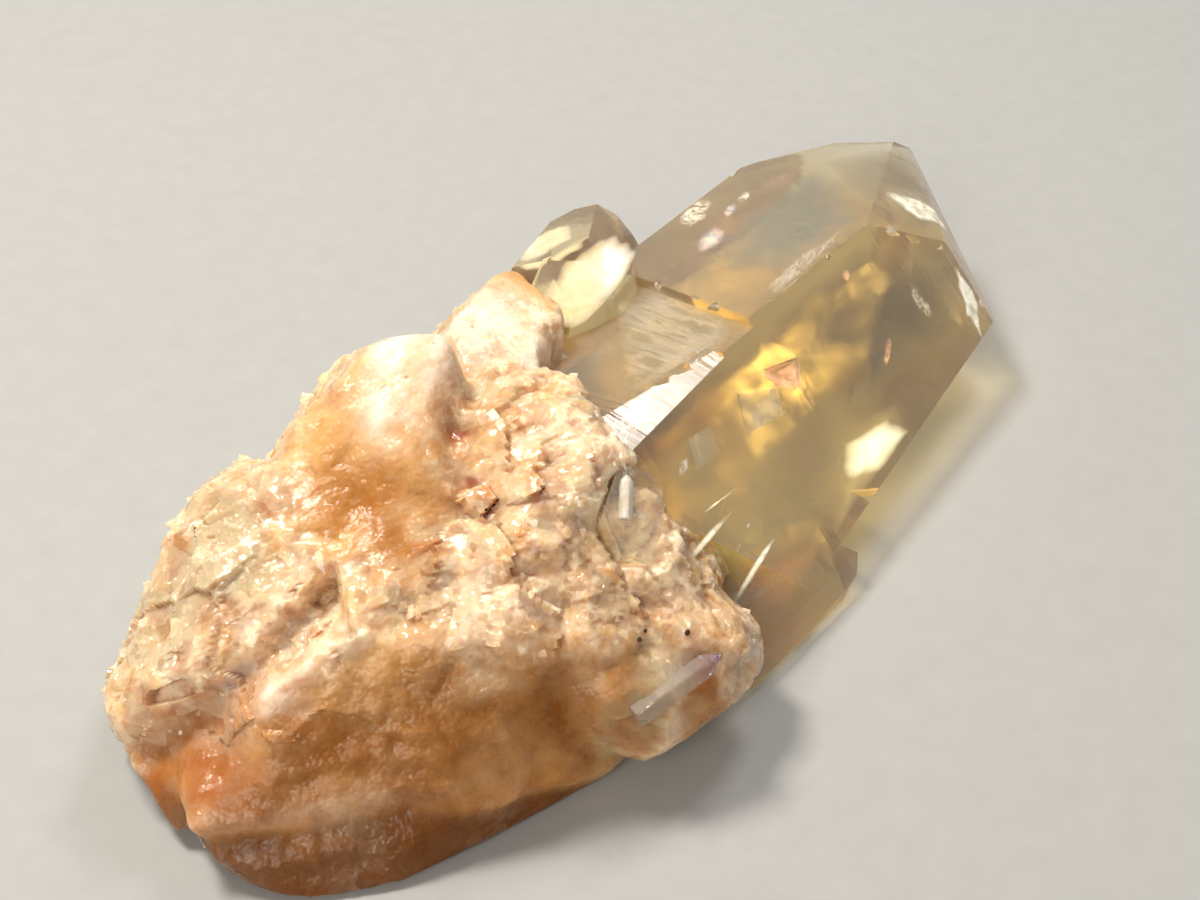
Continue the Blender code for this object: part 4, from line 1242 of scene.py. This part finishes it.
def crumbs_piece(ground):
    """Crumbs scattered over the root where it is sugary, each turned and sized by chance and
    sunk about halfway in."""
    mesh = ground.data
    mesh.calc_loop_triangles()
    sides = np.empty(len(mesh.loop_triangles) * 3, np.int32)
    mesh.loop_triangles.foreach_get("vertices", sides)
    sides = sides.reshape(-1, 3)
    points = np.empty(len(mesh.vertices) * 3)
    mesh.vertices.foreach_get("co", points)
    points = points.reshape(-1, 3) / MM + CENTRE
    corners = points[sides]
    normal = np.cross(corners[:, 1] - corners[:, 0], corners[:, 2] - corners[:, 0])
    area = np.linalg.norm(normal, axis=1)
    middle = corners.mean(axis=1)
    weight = area * (1.0 - near(middle, WAXY)) ** 2
    picked = RNG.choice(len(sides), CRUMBS, p=weight / weight.sum())
    up = normal[picked] / area[picked][:, None]
    shapes = [crumb(kind) for kind in range(16)]
    small, large = CRUMB_SIZES
    size = small * (large / small) ** (RNG.uniform(size=CRUMBS) ** 1.8)
    lean = up + RNG.normal(size=(CRUMBS, 3)) * 0.55
    lean /= np.linalg.norm(lean, axis=1)[:, None]
    side = np.cross(lean, RNG.normal(size=(CRUMBS, 3)))
    side /= np.linalg.norm(side, axis=1)[:, None]
    third = np.cross(lean, side)
    out, faces, total = [], [], 0
    for number in range(CRUMBS):
        shape, own = shapes[number % 16]
        turned = (shape[:, :1] * side[number] + shape[:, 1:2] * third[number]
                  + shape[:, 2:] * lean[number]) * size[number]
        out.append(turned + middle[picked[number]] - up[number] * size[number] * 0.5)
        faces.append(own + total)
        total += len(shape)
    places = inside_box(np.concatenate(out))
    places[:, 2] = np.maximum(places[:, 2], 0.02)
    piece = mesh_piece("sugar_crumbs", places, np.concatenate(faces).tolist())
    outward(piece)
    finish_shares(piece, places, np.full(len(places), 0.3))
    return piece


def specks_piece(ground):
    """Small black grains on the brown window, each set on the root's nearest point."""
    points = np.empty(len(ground.data.vertices) * 3)
    ground.data.vertices.foreach_get("co", points)
    points = points.reshape(-1, 3) / MM + CENTRE
    out, faces, total = [], [], 0
    for number, (x, y, z, size) in enumerate(BLACK):
        place = points[((points - np.array([x, y, z])) ** 2).sum(axis=1).argmin()]
        shape, own = crumb(number * 2)
        out.append(shape * size * [0.6, 0.5, 1.0] + place)
        faces += (own + total).tolist()
        total += len(shape)
    piece = mesh_piece("dark_specks", np.concatenate(out), faces)
    outward(piece)
    return piece


def dark_material():
    """Black iron oxide, matt."""
    made, tree, shader = new_material("iron_oxide")
    fine = noise_node(tree, place_node(tree), 2000.0, 2.0)
    tree.links.new(colour_node(tree, (0.02, 0.012, 0.008), (0.09, 0.045, 0.02), fine),
                   shader.inputs["Base Color"])
    shader.inputs["Roughness"].default_value = 0.6
    return made


LIGHTS_AIM = (0, 0, 0.01)
CAMERA_PLACE = (-0.06565, -0.09768, 0.10799)
CAMERA_AIM = (0.00445, 0.01025, 0.0)
FLOOR_REACH = 1.5
FLOOR_LEVEL = -0.0001  # just under the piece, so that the two don't share a plane


def dress(piece, made):
    """Gives a piece its one material."""
    piece.data.materials.clear()
    piece.data.materials.append(made)


def lamp(name, place, width, watts, colour):
    """Square soft light at a place, turned to face the middle of the piece."""
    data = bpy.data.lights.new(name, "AREA")
    data.shape = "SQUARE"
    data.size = width
    data.energy = watts
    data.color = colour
    made = bpy.data.objects.new(name, data)
    made.location = place
    made.rotation_euler = (Vector(LIGHTS_AIM) - Vector(place)).to_track_quat("-Z", "Y").to_euler()
    bpy.context.scene.collection.objects.link(made)


def sheet_material(name, colour, other, most, scale, roughness, bare, soft, turn=0.0, glow=0.0):
    """Thin sheet inside the crystal, for fractures, smoke and, in some kinds, painted light: two
    colours and how much it covers, which fades out from soft to the rim and where noise is below
    bare. The noise is drawn out along one direction, in degrees about +Z, where that is given.
    A glow, where given, makes the sheet shine by itself: painted light."""
    made, tree, shader = new_material(name)
    squeeze = tree.nodes.new("ShaderNodeMapping")
    squeeze.vector_type = "TEXTURE"
    squeeze.inputs["Rotation"].default_value = (0.0, 0.0, math.radians(turn))
    squeeze.inputs["Scale"].default_value = (5.0 if turn else 1.0, 1.0, 1.0)
    tree.links.new(place_node(tree), squeeze.inputs["Vector"])
    flecks = noise_node(tree, squeeze.outputs[0], scale, 2.0, 0.65, 0.6)
    rim = range_node(tree, share_nodes(tree, "rim")[0], soft, 1.0, 1.0, 0.0)
    cover = sum_node(tree, "MULTIPLY", range_node(tree, flecks, bare, 0.62, 0.0, most), rim)
    tree.links.new(cover, shader.inputs["Alpha"])
    look = colour_node(tree, other, colour, range_node(tree, flecks, 0.4, 0.6))
    tree.links.new(look, shader.inputs["Base Color"])
    shader.inputs["Roughness"].default_value = roughness
    shader.inputs["Metallic"].default_value = 0.0
    # Painted glow: the sheet shines by itself, though it is no lamp
    if glow:
        shader.inputs["Emission Color"].default_value = colour + (1.0,)
        shader.inputs["Emission Strength"].default_value = glow
    return made


def studio():
    """Pale floor, soft lights and the camera."""
    mesh = bpy.data.meshes.new("floor")
    corners = [(-1, -1), (1, -1), (1, 1), (-1, 1)]
    mesh.from_pydata([(x * FLOOR_REACH, y * FLOOR_REACH, FLOOR_LEVEL) for x, y in corners],
                     [], [(0, 1, 2, 3)])
    floor = bpy.data.objects.new("floor", mesh)
    bpy.context.scene.collection.objects.link(floor)
    made, tree, shader = new_material("pale_floor")
    grain = noise_node(tree, place_node(tree), 400.0, 3.0)
    tint = colour_node(tree, (0.36, 0.36, 0.355), (0.41, 0.41, 0.405), grain)
    tree.links.new(tint, shader.inputs["Base Color"])
    shader.inputs["Roughness"].default_value = 0.7
    dress(floor, made)
    lamp("key", (-0.095, 0.165, 0.345), 0.09, 1.6, (1.0, 0.94, 0.84))
    lamp("rim", (0.18, 0.105, 0.287), 0.09, 0.42, (1.0, 0.98, 0.95))
    lamp("fill", (-0.30, -0.22, 0.26), 0.20, 0.95, (1.0, 0.93, 0.82))
    world = bpy.data.worlds.new("studio")
    world.use_nodes = True
    world.node_tree.nodes["Background"].inputs["Color"].default_value = (0.86, 0.85, 0.82, 1.0)
    world.node_tree.nodes["Background"].inputs["Strength"].default_value = 0.28
    bpy.context.scene.world = world
    data = bpy.data.cameras.new("camera")
    data.lens = 60.0
    data.sensor_width = 36.0
    data.clip_start = 0.01
    camera = bpy.data.objects.new("camera", data)
    camera.location = CAMERA_PLACE
    camera.rotation_euler = (Vector(CAMERA_AIM) - camera.location).to_track_quat("-Z", "Y").to_euler()
    bpy.context.scene.collection.objects.link(camera)
    bpy.context.scene.camera = camera
    bpy.context.scene.view_settings.view_transform = "Standard"


studio()
root = root_piece()
dress(root, milky_material("milky_quartz", MILK_DEPTH))
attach(root, "root")
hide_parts("milky_quartz_root")

crystal = crystal_piece()
dress(crystal, citrine_material())
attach(crystal, "root")
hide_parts("citrine_crystal")

# Finish of each kind of sheet: its two colours, how much it covers at most, lumps of its noise
# per metre, roughness, the noise below which it is bare, where along its radius it begins to
# fade, then for some the turn of its streaks and its glow, which is painted light
FINISHES = {
    "smoky_zones": ((0.20, 0.145, 0.05), (0.23, 0.17, 0.07), 0.75, 120.0, 0.6, -0.3, 0.35),
    "grey_zone": ((0.12, 0.13, 0.11), (0.15, 0.15, 0.12), 0.72, 120.0, 0.6, -0.3, 0.4),
    # Painted caustic glow: golden colour with a faint glow of its own
    "golden_glow": ((1.0, 0.82, 0.35), (0.95, 0.72, 0.25), 0.6, 150.0, 0.3, -0.5, 0.0, 0.0, 0.3),
    "golden_haze": ((0.66, 0.52, 0.20), (0.56, 0.45, 0.18), 0.42, 110.0, 0.6, -0.2, 0.6),
    "milky_core": ((1.0, 0.94, 0.80), (0.98, 0.86, 0.66), 0.95, 400.0, 0.6, -0.5, 0.6),
    # White veils, and painted glints on the top face
    "white_veils": ((1.0, 0.98, 0.92), (0.9, 0.85, 0.72), 0.95, 1400.0, 0.25, 0.38, 0.5),
    # Painted reflection: silver colour for the light mirrored on the slope and along the edge
    "silver_fracture": ((0.62, 0.54, 0.42), (0.32, 0.26, 0.18), 0.7, 3200.0, 0.35, 0.3, 0.6, 40.0),
    "rainbow_film": ((1.0, 0.74, 0.62), (0.62, 0.78, 1.0), 0.85, 600.0, 0.2, 0.3, 0.2),
    "frosted_patch": ((0.86, 0.80, 0.62), (0.66, 0.58, 0.40), 0.4, 260.0, 0.4, 0.1, 0.9),
    # Orange colour with a faint painted glow
    "orange_lining": ((1.0, 0.66, 0.38), (0.80, 0.38, 0.15), 1.0, 500.0, 0.25, 0.2, 0.6, 0.0, 0.25),
    # Painted caustic spot: bright gold colour with a glow of its own
    "golden_mirror": ((1.0, 0.94, 0.70), (1.0, 0.86, 0.45), 1.0, 200.0, 0.2, -0.5, 0.2, 0.0, 1.1),
    "growth_streaks": ((0.40, 0.33, 0.22), (0.84, 0.76, 0.62), 0.5, 1300.0, 0.3, 0.3, 0.6, 113.0),
    "brown_smoke": ((0.32, 0.18, 0.09), (0.26, 0.15, 0.07), 0.75, 420.0, 0.5, 0.25, 0.3),
    "bright_streaks": ((1.0, 0.97, 0.84), (0.95, 0.88, 0.66), 0.8, 700.0, 0.3, 0.0, 0.1),
    # White fracture and painted highlight, with a faint painted glow
    "tip_fracture": ((1.0, 1.0, 0.96), (0.74, 0.70, 0.54), 1.0, 900.0, 0.2, 0.2, 0.7, 0.0, 0.25),
    "amber_foot": ((0.80, 0.42, 0.12), (0.62, 0.31, 0.08), 0.6, 300.0, 0.5, 0.1, 0.2),
    "dark_feather": ((0.12, 0.14, 0.10), (0.16, 0.13, 0.06), 0.65, 700.0, 0.5, 0.38, 0.3, 40.0),
}
for label, rows in SHEETS.items():
    sheets = sheet_piece(label, rows)
    dress(sheets, sheet_material(label, *FINISHES[label]))
    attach(sheets, "root")

prism = rod_piece("ledge_prism", LEDGE_PRISM)
dress(prism, ledge_prism_material())
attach(prism, "root")

rod = rod_piece("stub_rod", rod_corners(STUB_ROD_START, STUB_ROD_END, STUB_ROD_RADIUS))
dress(rod, white_rod_material())
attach(rod, "root")

specks = specks_piece(root)
dress(specks, dark_material())
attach(specks, "root")

crumbs = crumbs_piece(root)
dress(crumbs, sugar_material())
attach(crumbs, "root")
